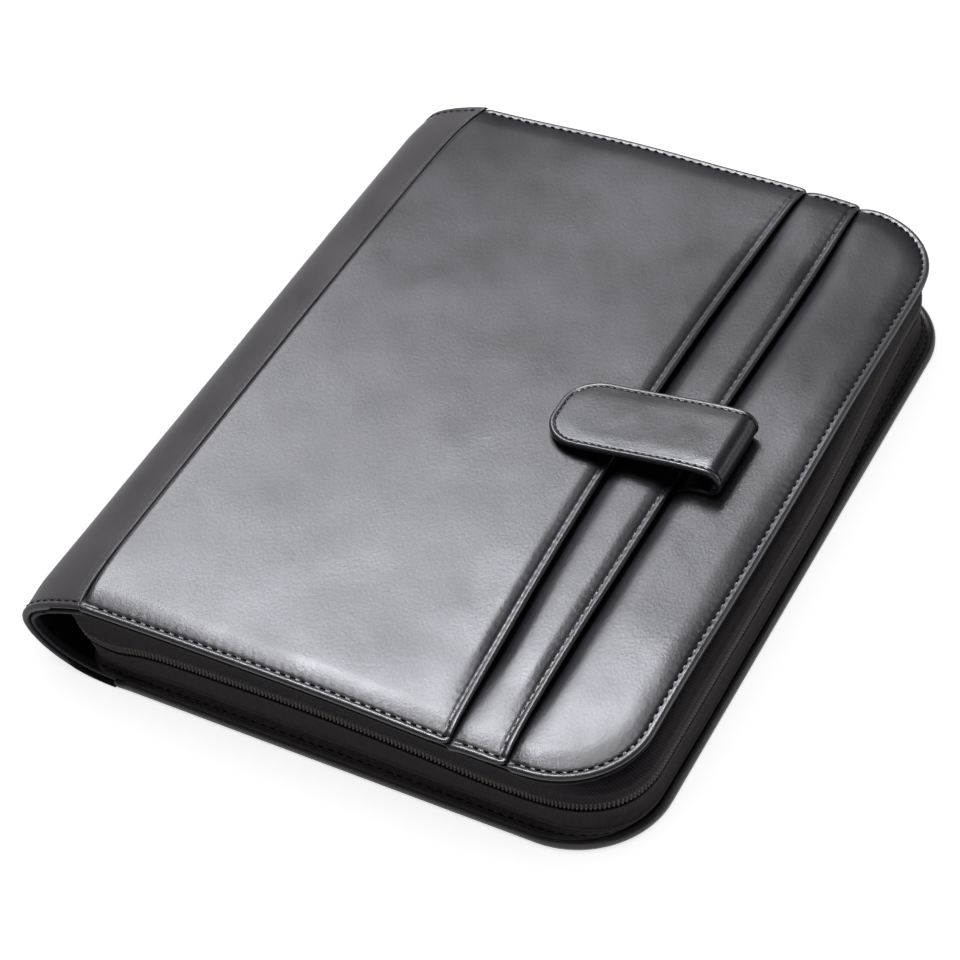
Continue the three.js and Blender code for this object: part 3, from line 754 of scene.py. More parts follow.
def coons(near, far, left, right):
    """A grid spanning four borders: near and far run along columns, left and right along rows"""
    u = column_shares(near)[None, :, None]
    v = column_shares(right)[:, None, None]
    ruled_v = lerp(near[None], far[None], v)
    ruled_u = lerp(left[:, None], right[:, None], u)
    return ruled_v + ruled_u - lerp(lerp(near[0], near[-1], u), lerp(far[0], far[-1], u), v)


LIP = 1.3
TUCKED_RADIUS = 0.5
RIM_STEP = 0.9
ROWS = graded(CASE_LENGTH - 2 * LIP, 1.0, 0.42, 7.0) - HALF + LIP


def corner_pull(x, y, mouth):
    """Rounds off a panel's corners where its mouth meets the rim"""
    reach = 3.0
    near = np.clip(reach - (mouth - x), 0, reach)
    drop = reach - np.sqrt(reach**2 - near**2)
    return y - np.sign(y) * 0.8 * drop * ease(np.abs(y) - (HALF - 22.0), 20.0)


def long_panel(left_at, mouth_at, columns):
    """Points of a panel that runs the whole length, from a line along it to the fold of its mouth"""
    y = np.repeat(ROWS[:, None], len(columns), 1)
    left, right = left_at(ROWS)[:, None], (mouth_at(ROWS) - fold_wall(ROWS) / 2)[:, None]
    x = lerp(left, right, (columns / columns[-1])[None])
    return x, corner_pull(x, y, mouth_at(y))


def panel_roll(x, y, mouth, margin_end):
    """Radius of a panel's rolled edge: thin where it is tucked in, thick at its mouth and rim"""
    rim = lerp(LIP, np.minimum(fold_wall(y) / 2, LIP), ease(x - (mouth - 9.0), 9.0))
    return lerp(TUCKED_RADIUS, rim, ease(x - margin_end + 1.2, 2.2))


# Painted highlight on the bead round a rim, partly worn leather too
def rim_wear_and_highlight(rim):
    return bump(rim - 0.6, 1.4)


# Painted highlight on the turned edge of a pocket mouth, partly worn leather too
def mouth_wear_and_highlight(mouth):
    return 0.3 * bump(mouth - 0.8, 1.3)


def front_panel():
    columns = graded(FIRST_MOUTH + SEAM_LAP + SEAM_BOW, 1.0, 0.5, 6.0)
    x, y = long_panel(lambda v: seam_x(v) - SEAM_LAP, first_mouth, columns)
    rim, mouth = rim_distance(x, y), first_mouth(y) - x
    past_seam = ease(x - seam_x(y), 3.5)
    inner = np.minimum(np.minimum(rim, mouth + 0.6), x - seam_x(y) + 1.0)
    z = front_panel_top(x, y)
    z = z + past_seam * (pillow(rim) + seam_detail(rim, rim_arc(x, y), 1.0, 3))
    sewn_mouth = past_seam * seam_detail(mouth, y + MOUTH_PHASE, 0.8, 5) + mouth_bead(mouth)
    z = z + sewn_mouth * ease(rim - 1.0, 4.0)
    z = z + slack(x, y) * ease(inner - 4, 10.0)
    wear_and_light = 0.8 * rim_wear_and_highlight(rim) * past_seam + mouth_wear_and_highlight(mouth)
    roll = panel_roll(x, y, first_mouth(y), seam_x(y))
    thick = lerp(2 * roll, PANEL_WALL, ease(inner - 2.0, 10.0) * past_seam)
    return rolled("front_panel_leather", x, y, z, roll, thick, wear_and_light)


def pocket_strip():
    columns = graded(STRIP_WIDTH + MOUTH_LAP, 0.9, 0.5, 6.0)
    x, y = long_panel(lambda v: first_mouth(v) - MOUTH_LAP, second_mouth, columns)
    rim, mouth = rim_distance(x, y), second_mouth(y) - x
    past_mouth = x - first_mouth(y)
    shown = ease(past_mouth + 1.0, 4.0)
    z = strip_top(x, y)
    z = z + shown * (0.8 * pillow(rim) + seam_detail(rim, rim_arc(x, y), 0.9, 3))
    z = z + (seam_detail(mouth, y + MOUTH_PHASE, 0.8, 9) + mouth_bead(mouth)) * ease(rim - 1.0, 4.0)
    z = z + slack(x + 90, y) * ease(np.minimum(rim, mouth) - 4, 8.0) * shown
    wear_and_light = 0.8 * rim_wear_and_highlight(rim) * shown + mouth_wear_and_highlight(mouth)
    roll = panel_roll(x, y, second_mouth(y), first_mouth(y))
    thick = lerp(2 * roll, PANEL_WALL, ease(np.minimum(rim, mouth) - 2.0, 10.0) * ease(past_mouth, 6.0))
    return rolled("pocket_strip_leather", x, y, z, roll, thick, wear_and_light)


def rim_line(inset, start_x, edge, half, radius):
    """Three stretches of a rim moved in by inset, parted at the middle of its corners: near, free and far"""
    cx, cy, r = edge - radius, half - radius, radius - inset

    def arc(start, stop, cyy):
        count = max(3, int((stop - start) * r / RIM_STEP) + 1)
        angle = np.linspace(start, stop, count)
        return np.stack([cx + r * np.cos(angle), cyy + r * np.sin(angle)], 1)

    count = max(2, int((cx - start_x) / RIM_STEP) + 1)
    straight = np.stack([np.linspace(start_x, cx, count), np.full(count, inset - half)], 1)
    near = np.concatenate([straight[:-1], arc(-math.pi / 2, -math.pi / 4, -cy)])
    side_y = np.linspace(-cy, cy, int(2 * cy / RIM_STEP) + 1)
    side = np.stack([np.full(len(side_y), edge - inset), side_y], 1)
    free = np.concatenate([arc(-math.pi / 4, 0, -cy)[:-1], side, arc(0, math.pi / 4, cy)[1:]])
    return near, free, near * [1, -1]


def resample(line, places):
    """Points at places from 0 to 1 along a line"""
    share = column_shares(line)
    return np.stack([np.interp(places, share, line[:, k]) for k in range(2)], 1)


def sheet_grid(start_at, rim, lip, spans, grading):
    """Points of a sheet from a line along the spine's side out to a rim, less the lip round it"""
    across, along = (graded(span, *grading) / span for span in spans)
    near, free, far = rim_line(lip, start_at(0.0), *rim)
    edge_y = rim[1] - lip
    borders = []
    for line, y, half in ((near, -edge_y, -rim[1]), (far, edge_y, rim[1])):
        start = start_at(half)
        line = np.concatenate([[[start, y]], line[line[:, 0] > start]])
        borders.append(resample(line, across))
    left_y = lerp(-edge_y, edge_y, along)
    left = np.stack([start_at(left_y), left_y], 1)
    flat = coons(*borders, left, resample(free, along))
    return flat[..., 0], flat[..., 1]


def outer_panel():
    spans = (62.0, 334.0)
    x, y = sheet_grid(lambda v: second_mouth(v) - MOUTH_LAP, FRONT_RIM, LIP, spans, (0.9, 0.42, 6.0))
    rim, past_mouth = rim_distance(x, y), x - second_mouth(y)
    shown = ease(past_mouth + 1.0, 4.0)
    z = outer_panel_top(x, y)
    z = z + shown * (pillow(rim) + seam_detail(rim, rim_arc(x, y), 1.0, 3))
    z = z + slack(x + 190, y) * ease(rim - 4, 10.0) * shown
    roll = lerp(TUCKED_RADIUS, LIP, ease(past_mouth, 4.0))
    thick = lerp(2 * roll, PANEL_WALL, ease(rim - 2.0, 10.0) * ease(past_mouth, 6.0))
    return rolled("outer_panel_leather", x, y, z, roll, thick, 0.9 * rim_wear_and_highlight(rim) * shown)


def spine_outline():
    line = np.concatenate([SHOULDER, HEEL[1:]])
    tangent = np.gradient(line, axis=0)
    return line, travel(line), tangent / np.linalg.norm(tangent, axis=1, keepdims=True)


SPINE_LINE, SPINE_PLACE, SPINE_TANGENT = spine_outline()
NOSE_PLACE = SPINE_PLACE[len(SHOULDER) - 1]


def seam_place(y):
    return np.interp(-seam_x(y), -SHOULDER[:, 0], SPINE_PLACE[: len(SHOULDER)])


def spine_point(place, y, depth):
    """A point of the spine at a length along its outline and a depth inside it"""
    x, z = (np.interp(place, SPINE_PLACE, SPINE_LINE[:, k]) for k in range(2))
    x = np.where(x < 0, x * (1 - END_TAPER * (1 - ease(HALF - np.abs(y), END_TAPER_RUN))), x)
    tx, tz = (np.interp(place, SPINE_PLACE, SPINE_TANGENT[:, k]) for k in range(2))
    size = np.hypot(tx, tz)
    x, z = x - depth * tz / size, z + depth * tx / size
    return np.stack([x, y + 0 * x, np.maximum(0, z * spine_scale(y))], -1)


def spine_grid(half, columns, fine_rows):
    y = graded(2 * half, 3.0, fine_rows, 11.0) - half
    y = np.repeat(y[:, None], len(columns), 1)
    start = seam_place(y)
    return start + (SPINE_PLACE[-1] - start) * (columns / columns[-1])[None], y


def spine_panel():
    length = SPINE_PLACE[-1]
    columns = graded(length, 0.9, 0.3, 2.4)
    place, y = spine_grid(HALF, columns, 0.4)
    from_end = HALF - np.abs(y)
    from_seam = place - seam_place(y)
    to_heel = length - place
    x = np.interp(place, SPINE_PLACE, SPINE_LINE[:, 0])
    upper = place < NOSE_PLACE
    flap_end = np.where(upper, seam_x(y) - SEAM_LAP, -HEEL_MARGIN)
    thick = lerp(FLAP_WALL, PANEL_WALL, ease(flap_end - FLAP_RUN - x, FLAP_RISE))
    sewn = ease(NOSE_PLACE + 14 - place, 16.0)
    relief = sewn * seam_detail(from_end, place + SPINE_PHASE, 0.7, 13)
    relief = relief + 0.12 * bump(from_seam - 1.1, 0.9) - 0.14 * bump(from_seam - 2.9, 0.9)
    loose = ease(from_seam - 2, 8) * ease(to_heel - 12, 14)
    relief = relief + 0.10 * noise(place + 50, y * 0.5 + 300, 22.0, 41, 2) * loose
    round_end = bullnose(from_end, 1.25)
    round_seam = bullnose(np.minimum(from_seam, to_heel + 0.3), 0.55)
    outer_depth = np.maximum(round_end, round_seam) - relief * (from_end > 0.2)
    inner_depth = thick - np.minimum(0.4 * thick, np.maximum(0.7 * round_end, 0.8 * round_seam))
    outer = spine_point(place, y, np.where(upper, outer_depth, np.maximum(0, outer_depth)))
    inner = spine_point(place, y, inner_depth)
    # Seam edge and sewn ends painted paler: painted highlight, partly worn leather
    wear_and_light = np.clip(0.6 * bump(from_seam - 0.4, 0.9) + 0.8 * bump(from_end - 0.6, 1.2) * sewn, 0, 1)
    return wall("spine_panel_leather", outer, inner, LIT_SPINE_LEATHER, wear_and_light=wear_and_light, flip=True)


def spine_lining():
    columns = graded(SPINE_PLACE[-1], 2.2, 1.0, 3.0)
    half = HALF - LINING_INSET
    place, y = spine_grid(half, columns, 0.45)
    from_end = half - np.abs(y)
    round_end = bullnose(from_end, 0.9)
    depth = PANEL_WALL + 2 * CLEARANCE + 0.1
    ripples = 0.10 * noise(place + 20, y * 0.6 + 300, 16.0, 51, 2)
    outer = spine_point(place, y, depth + round_end)
    inner = spine_point(place, y, depth + LINING_WALL - 0.15 - round_end + ripples)
    # The lining stays paler only within a few millimetres of its ends and goes dark deeper in: painted shade
    # inside the spine's hollow
    wear_and_light = 1 - ease(from_end - 3.0, 1.5)
    return wall("spine_lining_leather", outer, inner, SHADED_LINING_LEATHER, wear_and_light=wear_and_light, flip=True)


def thick_sheet(name, x, y, top, low, lip, material, steps=6, edge_wear_and_highlight=0.0):
    """A sheet with a fine lower face too, and a round edge between the faces, which can be painted paler:
    partly worn leather, partly painted highlight
    """
    rows, columns = x.shape
    total = rows * columns
    loop = border(rows, columns)
    points = [np.stack([x, y, z + 0 * x], -1).reshape(-1, 3) for z in (top, low)]
    wear_and_light = [np.zeros(2 * total)]
    faces = [grid_faces(rows, columns), grid_faces(rows, columns, total, True)]
    upper, lower = points[0][loop], points[1][loop]
    out = outward(upper)
    previous, count = loop, 2 * total
    for step in range(1, steps):
        angle = math.pi * step / steps
        ring = lerp(upper, lower, 0.5 - 0.5 * math.cos(angle))
        ring[:, :2] += out * lip * math.sin(angle)
        current = count + np.arange(len(loop))
        points.append(ring)
        wear_and_light.append(np.full(len(loop), edge_wear_and_highlight * math.cos(angle / 2)))
        faces.append(strip_faces(previous, current))
        previous, count = current, count + len(loop)
    faces.append(strip_faces(previous, loop + total))
    return make(name, np.concatenate(points), faces, (), material, None, np.concatenate(wear_and_light))


def inner_rim(rim, inset):
    return tuple(part - inset for part in rim)


def front_lining():
    lip, rim = 0.85, inner_rim(FRONT_RIM, LINING_INSET)
    x, y = sheet_grid(lambda v: LINING_START + 0 * v, rim, lip, (230.0, 340.0), (4.0, 0.8, 4.0))
    top = lining_top(x, y)
    return thick_sheet("front_lining_leather", x, y, top, top - LINING_WALL + 0.1, lip, SHADED_LINING_LEATHER)


def back_cover():
    """Back cover, whose turned-over edge is as thick as the cover and its lining together"""
    lip, start = BACK_TOP / 2, HEEL_LAP + 0.8
    x, y = sheet_grid(lambda v: start + 0 * v, BACK_RIM, lip, (240.0, 345.0), (3.0, 0.6, 13.0))
    rim, arc = rim_distance(x, y, *BACK_RIM), rim_arc(x, y, *BACK_RIM)
    hem = 1 - ease(rim - HEM_WIDTH, 1.2)
    top = lerp(PANEL_WALL, BACK_TOP, hem) + hem * (seam_detail(rim - 1.0, arc, 0.7, 61) - 0.1)
    top = lerp(BACK_TOP - 1.4, top, ease(x - start, 6.0))
    low = np.maximum(0.05 + 0.05 * noise(x + 9, y + 300, 25.0, 71), 0.0)
    # Its turned edge is painted paler: a painted highlight along it, partly worn leather
    return thick_sheet("back_cover_leather", x, y, top, low, lip, BACK_LEATHER, 9, 0.9)


def back_lining():
    lip, rim = 0.8, inner_rim(BACK_RIM, BACK_LINING_INSET)
    x, y = sheet_grid(lambda v: BACK_LINING_START + 0 * v, rim, lip, (220.0, 325.0), (6.0, 1.0, 4.0))
    top = BACK_TOP - 0.25 + 0.12 * noise(x + 40, y + 300, 30.0, 81, 2)
    return thick_sheet("back_lining_leather", x, y, top, PANEL_WALL + 0.25, lip, SHADED_LINING_LEATHER)


# Gusset and zip


def gusset_path(step):
    """Dense stops along the gusset: place, outward direction, share of the long side, share of the ends"""
    turn = END_TURN + GUSSET_INSET
    cx, cy, r = FRONT_EDGE - FRONT_RADIUS, HALF - FRONT_RADIUS, FRONT_RADIUS
    stops = []

    def add(*parts):
        stops.append(np.stack(np.broadcast_arrays(*parts)))

    def span(start, stop):
        return np.linspace(start, stop, max(3, int(abs(stop - start) / step)), endpoint=False)

    def arc(x0, y0, radius, start, side, end):
        count = max(3, int(math.pi / 2 * radius / step))
        turned = np.linspace(0, 90, count, endpoint=False)
        a = np.radians(start + turned)
        add(x0 + radius * np.cos(a), y0 + radius * np.sin(a), np.cos(a), np.sin(a), side(turned), end)

    out, back, along = span(0, cx), span(cx, 0), span(-cy, cy)
    arc(0, turn - HALF, turn, 180, lambda turned: 0.0, 1.0)
    add(out, -HALF, 0.0, -1.0, 0.0, 1 - ease(out, END_LEAN_RUN))
    arc(cx, -cy, r, 270, lambda turned: ease(turned, 70), 0.0)
    add(FRONT_EDGE, along, 1.0, 0.0, lerp(1, FAR_SLACK, ease(along, cy)), 0.0)
    arc(cx, cy, r, 0, lambda turned: FAR_SLACK * (1 - ease(turned, 80)), 0.0)
    add(back, HALF, 0.0, 1.0, 0.0, 1 - ease(back, END_LEAN_RUN))
    arc(0, HALF - turn, turn, 90, lambda turned: 0.0, 1.0)
    add(np.array([-turn]), HALF - turn, -1.0, 0.0, 0.0, 1.0)
    return np.concatenate(stops, 1)


def section_at(section, level):
    table = np.array(section, float)
    dense = np.linspace(0, 1, 81)
    curves = (np.interp(dense, table[:, 0], table[:, column]) for column in (1, 2))
    return [np.interp(level, dense, smoothed(curve, 5, 3.0)) for curve in curves]


def zip_height(x, y):
    return ZIP_HEIGHT + ripple(x, y, ZIP_WAVES, ZIP_RISE)


def gusset_point(path, out, height):
    x, y, ox, oy, _, end = path
    lean = END_LEAN * end * (height - ZIP_HEIGHT)
    return np.stack([x + ox * out - lean, y + oy * out, height], -1)


def ceiling(x, y):
    depth = (PANEL_WALL + LINING_WALL + 3 * CLEARANCE) * math.hypot(1, 1.4 * SHOULDER_SLOPE)
    spine = shoulder_height(np.minimum(x, 0), y) - depth
    return np.where(x < LINING_START, spine, lining_top(x, y) - LINING_WALL - CLEARANCE)


def floor_over(x, y):
    depth = PANEL_WALL + LINING_WALL + 4 * CLEARANCE
    spine = heel_at(np.minimum(x, HEEL_LAP)) * spine_scale(y) + depth
    return np.where(x > HEEL_LAP + CLEARANCE + BORDER / 4, BACK_TOP + CLEARANCE, spine)


def settle(path, out, surface, choose):
    """Height where the leaning cloth meets a surface above or below it"""
    height = surface(path[0], path[1])
    for _ in range(4):
        point = gusset_point(path, out, height)
        shift = -CLOTH_WALL if choose is np.maximum else CLOTH_WALL
        height = choose(surface(point[..., 0], point[..., 1]), surface(point[..., 0] + shift, point[..., 1]))
    return height


def stand_out(path, section, level):
    ends, side = section_at(section, level)
    return GUSSET_BULGE * lerp(ends, side, path[4]) - GUSSET_INSET


def foot_height(path):
    return settle(path, stand_out(path, LOWER_SECTION, 0.0), floor_over, np.maximum) - FOOT_SINK


def slot_edge(path, side):
    return zip_height(path[0], path[1]) + side * SLOT_HALF


def cloth_band(name, section, bottom, top, step, levels, material, relief):
    """A wall of the gusset between two heights, with its relief"""
    path = gusset_path(step)
    arc, wide = travel(path[:2].T)[:, None], path[:, :, None]
    level = levels[None, :] + 0 * arc
    out = stand_out(wide, section, level)
    height = lerp(bottom(path)[:, None], top(path)[:, None], level)
    outer = gusset_point(wide, out + relief(arc, level, height), height)
    inner = gusset_point(wide, out - CLOTH_WALL, height)
    return wall(name, outer, inner, material, uv=np.stack([arc + 0 * level, height], -1))


def gusset_upper():
    def top(path):
        return settle(path, stand_out(path, UPPER_SECTION, 1.0), ceiling, np.minimum)

    def relief(arc, level, height):
        across = arc * math.cos(RIB_LEAN) - height * math.sin(RIB_LEAN)
        ribs = 0.07 * np.cos(2 * math.pi * across / RIB_PITCH)
        pulls = 0.22 * noise(arc, height * 0.3, 15.0, 91, 2) * np.sin(math.pi * level)
        return (ribs + pulls) * ease(level, 0.12) + 0.18 * bump(level, 0.09)

    def bottom(path):
        return slot_edge(path, 1)

    levels = np.concatenate([np.linspace(0, 0.16, 4)[:-1], np.linspace(0.16, 1, 12)])
    return cloth_band("gusset_upper_cloth", UPPER_SECTION, bottom, top, 0.5, levels, UPPER_CLOTH, relief)


def gusset_lower():
    def top(path):
        return slot_edge(path, -1)

    def relief(arc, level, height):
        fold = -0.55 * bump(level - 0.30, 0.035) + 0.4 * bump(level - 0.37, 0.05)
        wobble = 0.30 * noise(arc, height * 0.25, 26.0, 101, 2) * np.sin(math.pi * level)
        holes = 1 + 0.6 * np.cos(2 * math.pi * arc / STITCH_PITCH)
        sewn = -0.30 * bump(level - FOOT_SEAM_LEVEL, 0.03) * holes
        hem = 0.18 * bump(level - 1.0, 0.05)
        return fold * (1 + 0.4 * noise(arc, 0 * arc, 30.0, 103)) + wobble + sewn + hem

    levels = np.concatenate([np.linspace(0, 0.48, 20)[:-1], np.linspace(0.48, 1, 10)])
    return cloth_band("gusset_lower_cloth", LOWER_SECTION, foot_height, top, 1.0, levels, LOWER_CLOTH, relief)


def zip_tape():
    path = gusset_path(1.2)
    arc, wide = travel(path[:2].T)[:, None], path[:, :, None]
    side = np.linspace(-1, 1, 7)[None, :]
    out = stand_out(path, LOWER_SECTION, 1.0)[:, None] - CLOTH_WALL - CLEARANCE
    limit = settle(path, out[:, 0], ceiling, np.minimum)[:, None]
    height = np.minimum(zip_height(path[0], path[1])[:, None] + side * (SLOT_HALF + TAPE_LAP), limit)
    outer = gusset_point(wide, out + 0 * side, height)
    inner = gusset_point(wide, out - TAPE_WALL + 0 * side, height)
    return wall("zip_tape_cloth", outer, inner, TAPE_CLOTH, uv=np.stack([arc + 0 * side, height], -1))


def zip_coil():
    """Two rows of nylon turns, half a pitch apart, that mesh along the middle"""
    path = gusset_path(COIL_PITCH / 6)
    arc, wide = travel(path[:2].T)[:, None], path[:, :, None]
    side = np.array([-1, -0.86, -0.5, -0.14, 0, 0.14, 0.5, 0.86, 1])[None, :]
    out = stand_out(path, LOWER_SECTION, 1.0)[:, None] - CLOTH_WALL
    height = zip_height(path[0], path[1])[:, None] + side * COIL_WIDTH / 2
    turn = 0.5 + 0.5 * np.cos(2 * math.pi * arc / COIL_PITCH + 0.9 * np.abs(side))
    round_edge = np.sqrt(np.maximum(0, 1 - side**4)) * (1 - 0.35 * bump(side, 0.12))
    face = COIL_THICKNESS * (0.25 + 0.9 * round_edge * turn)
    outer = gusset_point(wide, out + face, height)
    inner = gusset_point(wide, out + 0.05 + 0 * side, height)
    # The mask is the crests of the turns: painted highlight where they stand out
    return wall("zip_coil_nylon", outer, inner, NYLON_LIT_CRESTS, wear_and_light=np.clip(turn * round_edge, 0, 1))


# Strap


def strap_line():
    """The strap from its tip over the curl into the pocket: place, outer line, direction out, wall"""
    curl_x = SECOND_MOUTH + CURL_PLACE
    tip_x = curl_x - STRAP_REACH
    curl_z = float(outer_panel_top(curl_x, STRAP_CENTRE)) + CLEARANCE + CURL_RADIUS
    tip_z = float(front_panel_top(tip_x, STRAP_CENTRE)) + STRAP_LIFT + STRAP_WALL
    bends = (
        (tip_x, tip_z),
        (tip_x + STRAP_REACH * 0.32, tip_z + 0.5),
        (curl_x - STRAP_REACH * 0.25, curl_z + CURL_RADIUS),
        (curl_x, curl_z + CURL_RADIUS),
    )
    run = bezier(bends, np.linspace(0, 1, 400))
    angle = np.radians(np.linspace(90, -90, 120)[1:])
    curl = np.stack([curl_x + CURL_RADIUS * np.cos(angle), curl_z + CURL_RADIUS * np.sin(angle)], 1)
    tail_x = np.linspace(curl_x, SECOND_MOUTH - STRAP_TAIL, 90)[1:]
    tail = np.stack([tail_x, outer_panel_top(tail_x, STRAP_CENTRE) + CLEARANCE], 1)
    line = np.concatenate([run, curl, tail])
    place = travel(line)
    tangent = np.gradient(line, axis=0)
    tangent /= np.linalg.norm(tangent, axis=1, keepdims=True)
    even = np.linspace(0, place[-1], 500)
    x, z, along_x, along_z = (np.interp(even, place, column) for column in (*line.T, *tangent.T))
    out = np.array([-smoothed(along_z, 12, 7.0), smoothed(along_x, 12, 7.0)])
    under = even > place[len(run) + len(curl) - 1]
    tail_wall = lerp(STRAP_TAIL_WALL, STRAP_WALL, ease(x - SECOND_MOUTH, CURL_PLACE))
    return even, np.array([x, z]), out, np.where(under, tail_wall, STRAP_WALL)


def closure_strap():
    place, line, out, wall_at = strap_line()
    length, half_width, fine_run = place[-1], STRAP_WIDTH / 2, 24.0
    rows = graded(fine_run, 0.9, 0.28, 3.4, False)[:-1]
    rows = np.concatenate([rows, np.linspace(fine_run, length, 104)])
    share = 1 - graded(half_width, 1.1, 0.28, 4.6, False) / half_width
    share = np.concatenate([-share[:-1], share[::-1]])
    along = np.repeat(rows[:, None], len(share), 1)
    past = np.maximum(0, STRAP_TIP_RADIUS - along)
    half = half_width - STRAP_TIP_RADIUS + np.sqrt(np.maximum(0, STRAP_TIP_RADIUS**2 - past**2))
    y = share[None] * half
    outline = (0.0, half_width, STRAP_TIP_RADIUS)
    edge, arc = rim_distance(-along, y, *outline), rim_arc(-along, y, *outline)
    px, pz, ox, oz, thick = (np.interp(along, place, column) for column in (*line, *out, wall_at))
    free = 1 - ease(along - (length - STRAP_TAIL - 10), 8.0)
    q = edge - STRAP_STITCH_MARGIN
    holes = (0.5 + 0.5 * np.cos(2 * math.pi * arc / STRAP_STITCH_PITCH)) ** 3
    bead = 0.12 * bump(q + 1.3, 0.9) - 0.22 * bump(q, 0.5) - 0.18 * holes * bump(q, 0.6)
    pad = 0.22 * ease(q, 7.0) - 0.05 * bump(q - 1.2, 1.4)
    uneven = 0.12 * noise(along + 5, y + 60, 13.0, 111, 2) * ease(q, 4)
    nose = bullnose(edge, 1.2)
    relief = (bead + pad + uneven) * free - 0.25
    top_depth = nose - np.where(edge > 0.6, relief, -0.25)
    low_depth = np.maximum(thick - 0.6 * np.minimum(nose, 0.8), top_depth + 0.35)
    faces = [np.stack([px - ox * d, STRAP_CENTRE + y, pz - oz * d], -1) for d in (top_depth, low_depth)]
    # Ring round the strap painted paler: painted highlight on its bead, partly worn leather
    wear_and_light = np.clip(0.9 * bump(edge - 1.1, 0.9) * free, 0, 1)
    return wall("closure_strap_leather", *faces, COVER_LEATHER, wear_and_light=wear_and_light, flip=True)


def lathe(name, profile, centre, material, sides=40):
    """A turned form about a vertical line, from (radius, height) pairs that start and end on it"""
    angle = np.linspace(0, 2 * math.pi, sides, endpoint=False)
    inner = profile[1:-1]
    points = [(0, 0, profile[0][1]), (0, 0, profile[-1][1])]
    for radius, height in inner:
        points += [(radius * math.cos(a), radius * math.sin(a), height) for a in angle]
    ring = np.arange(sides)
    after = (ring + 1) % sides
    caps = np.stack([np.zeros(sides, int), 2 + after, 2 + ring], -1)
    last = 2 + (len(inner) - 1) * sides
    ends = np.stack([np.ones(sides, int), last + ring, last + after], -1)
    quads = []
    for level in range(len(inner) - 1):
        a = 2 + level * sides
        quads.append(np.stack([a + ring, a + after, a + sides + after, a + sides + ring], -1))
    return make(name, np.array(points) + centre, [np.concatenate(quads), caps, ends], (), material)


def strap_snap():
    x = SECOND_MOUTH + CURL_PLACE - STRAP_REACH + SNAP_PLACE
    floor = float(front_panel_top(x, STRAP_CENTRE)) + 0.35
    height = STRAP_LIFT - 0.65
    profile = [
        (0, 0),
        (SNAP_RADIUS - 0.5, 0),
        (SNAP_RADIUS, 0.25),
        (SNAP_RADIUS, 0.7),
        (SNAP_RADIUS - 0.6, 1.0),
        (SNAP_RADIUS - 2.4, 1.05),
        (SNAP_RADIUS - 2.7, height - 0.6),
        (SNAP_RADIUS - 1.0, height - 0.55),
        (SNAP_RADIUS - 0.7, height - 0.3),
        (SNAP_RADIUS - 0.9, height),
        (0, height),
    ]
    return lathe("strap_snap_metal", profile, np.array([x, STRAP_CENTRE, floor]), DARK_METAL)


# Slider


def plate(outline, low, high, bevel, steps=4):
    """Points, faces and two end rings of a flat plate with rounded edges, standing in the plane across Y"""
    out, count = outward(outline), len(outline)
    points, faces = [], []
    rings = [(low, math.pi / 2 * k / steps, -1) for k in range(steps + 1)]
    rings += [(high, math.pi / 2 * (1 - k / steps), 1) for k in range(steps + 1)]
    for level, angle, sign in rings:
        ring = outline - out * bevel * (1 - math.sin(angle))
        lift = bevel * (1 - math.cos(angle))
        points.append(np.stack([ring[:, 0], np.full(count, level - sign * lift), ring[:, 1]], 1))
    index = np.arange(count)
    for level in range(len(rings) - 1):
        faces.append(strip_faces(level * count + index, (level + 1) * count + index))
    return np.concatenate(points), np.concatenate(faces), index[::-1], (len(rings) - 1) * count + index


def rounded_outline(width, height, radius, sides=6):
    points = []
    for cx, cz, start in (
        (width / 2 - radius, -height / 2 + radius, -90),
        (width / 2 - radius, height / 2 - radius, 0),
        (-width / 2 + radius, height / 2 - radius, 90),
        (-width / 2 + radius, -height / 2 + radius, 180),
    ):
        for step in range(sides + 1):
            a = math.radians(start + 90 * step / sides)
            points.append((cx + radius * math.cos(a), cz + radius * math.sin(a)))
    return np.array(points)


def zip_slider():
    """Slider body, its bridge and the pull with its eye, lying along the zip"""
    face = HALF - GUSSET_INSET - (CLOTH_WALL - COIL_THICKNESS) + CLEARANCE
    # width, height and corner radius of a plate, its place along the zip, its two faces and its bevel
    parts = (
        (9.0, 8.6, 2.2, 0.0, 0.0, 1.0, 0.35),
        (6.2, 2.0, 0.9, 0.4, 0.9, 2.1, 0.5),
        (21.0, 4.8, 2.2, 15.2, 0.6, 1.6, 0.35),
        (12.0, 2.6, 1.2, 16.4, 1.5, 2.0, 0.22),
    )
    points, blocks, rings, count = [], [], [], 0
    for width, height, radius, along, low, high, bevel in parts:
        p, f, first, last = plate(rounded_outline(width, height, radius), low, high, bevel)
        points.append(p + [SLIDER_PLACE + along, face, ZIP_HEIGHT])
        blocks.append(f + count)
        rings += [first + count, last + count]
        count += len(p)
    return make("zip_slider_metal", np.concatenate(points), [np.concatenate(blocks)], rings, DARK_METAL)


# Stitches


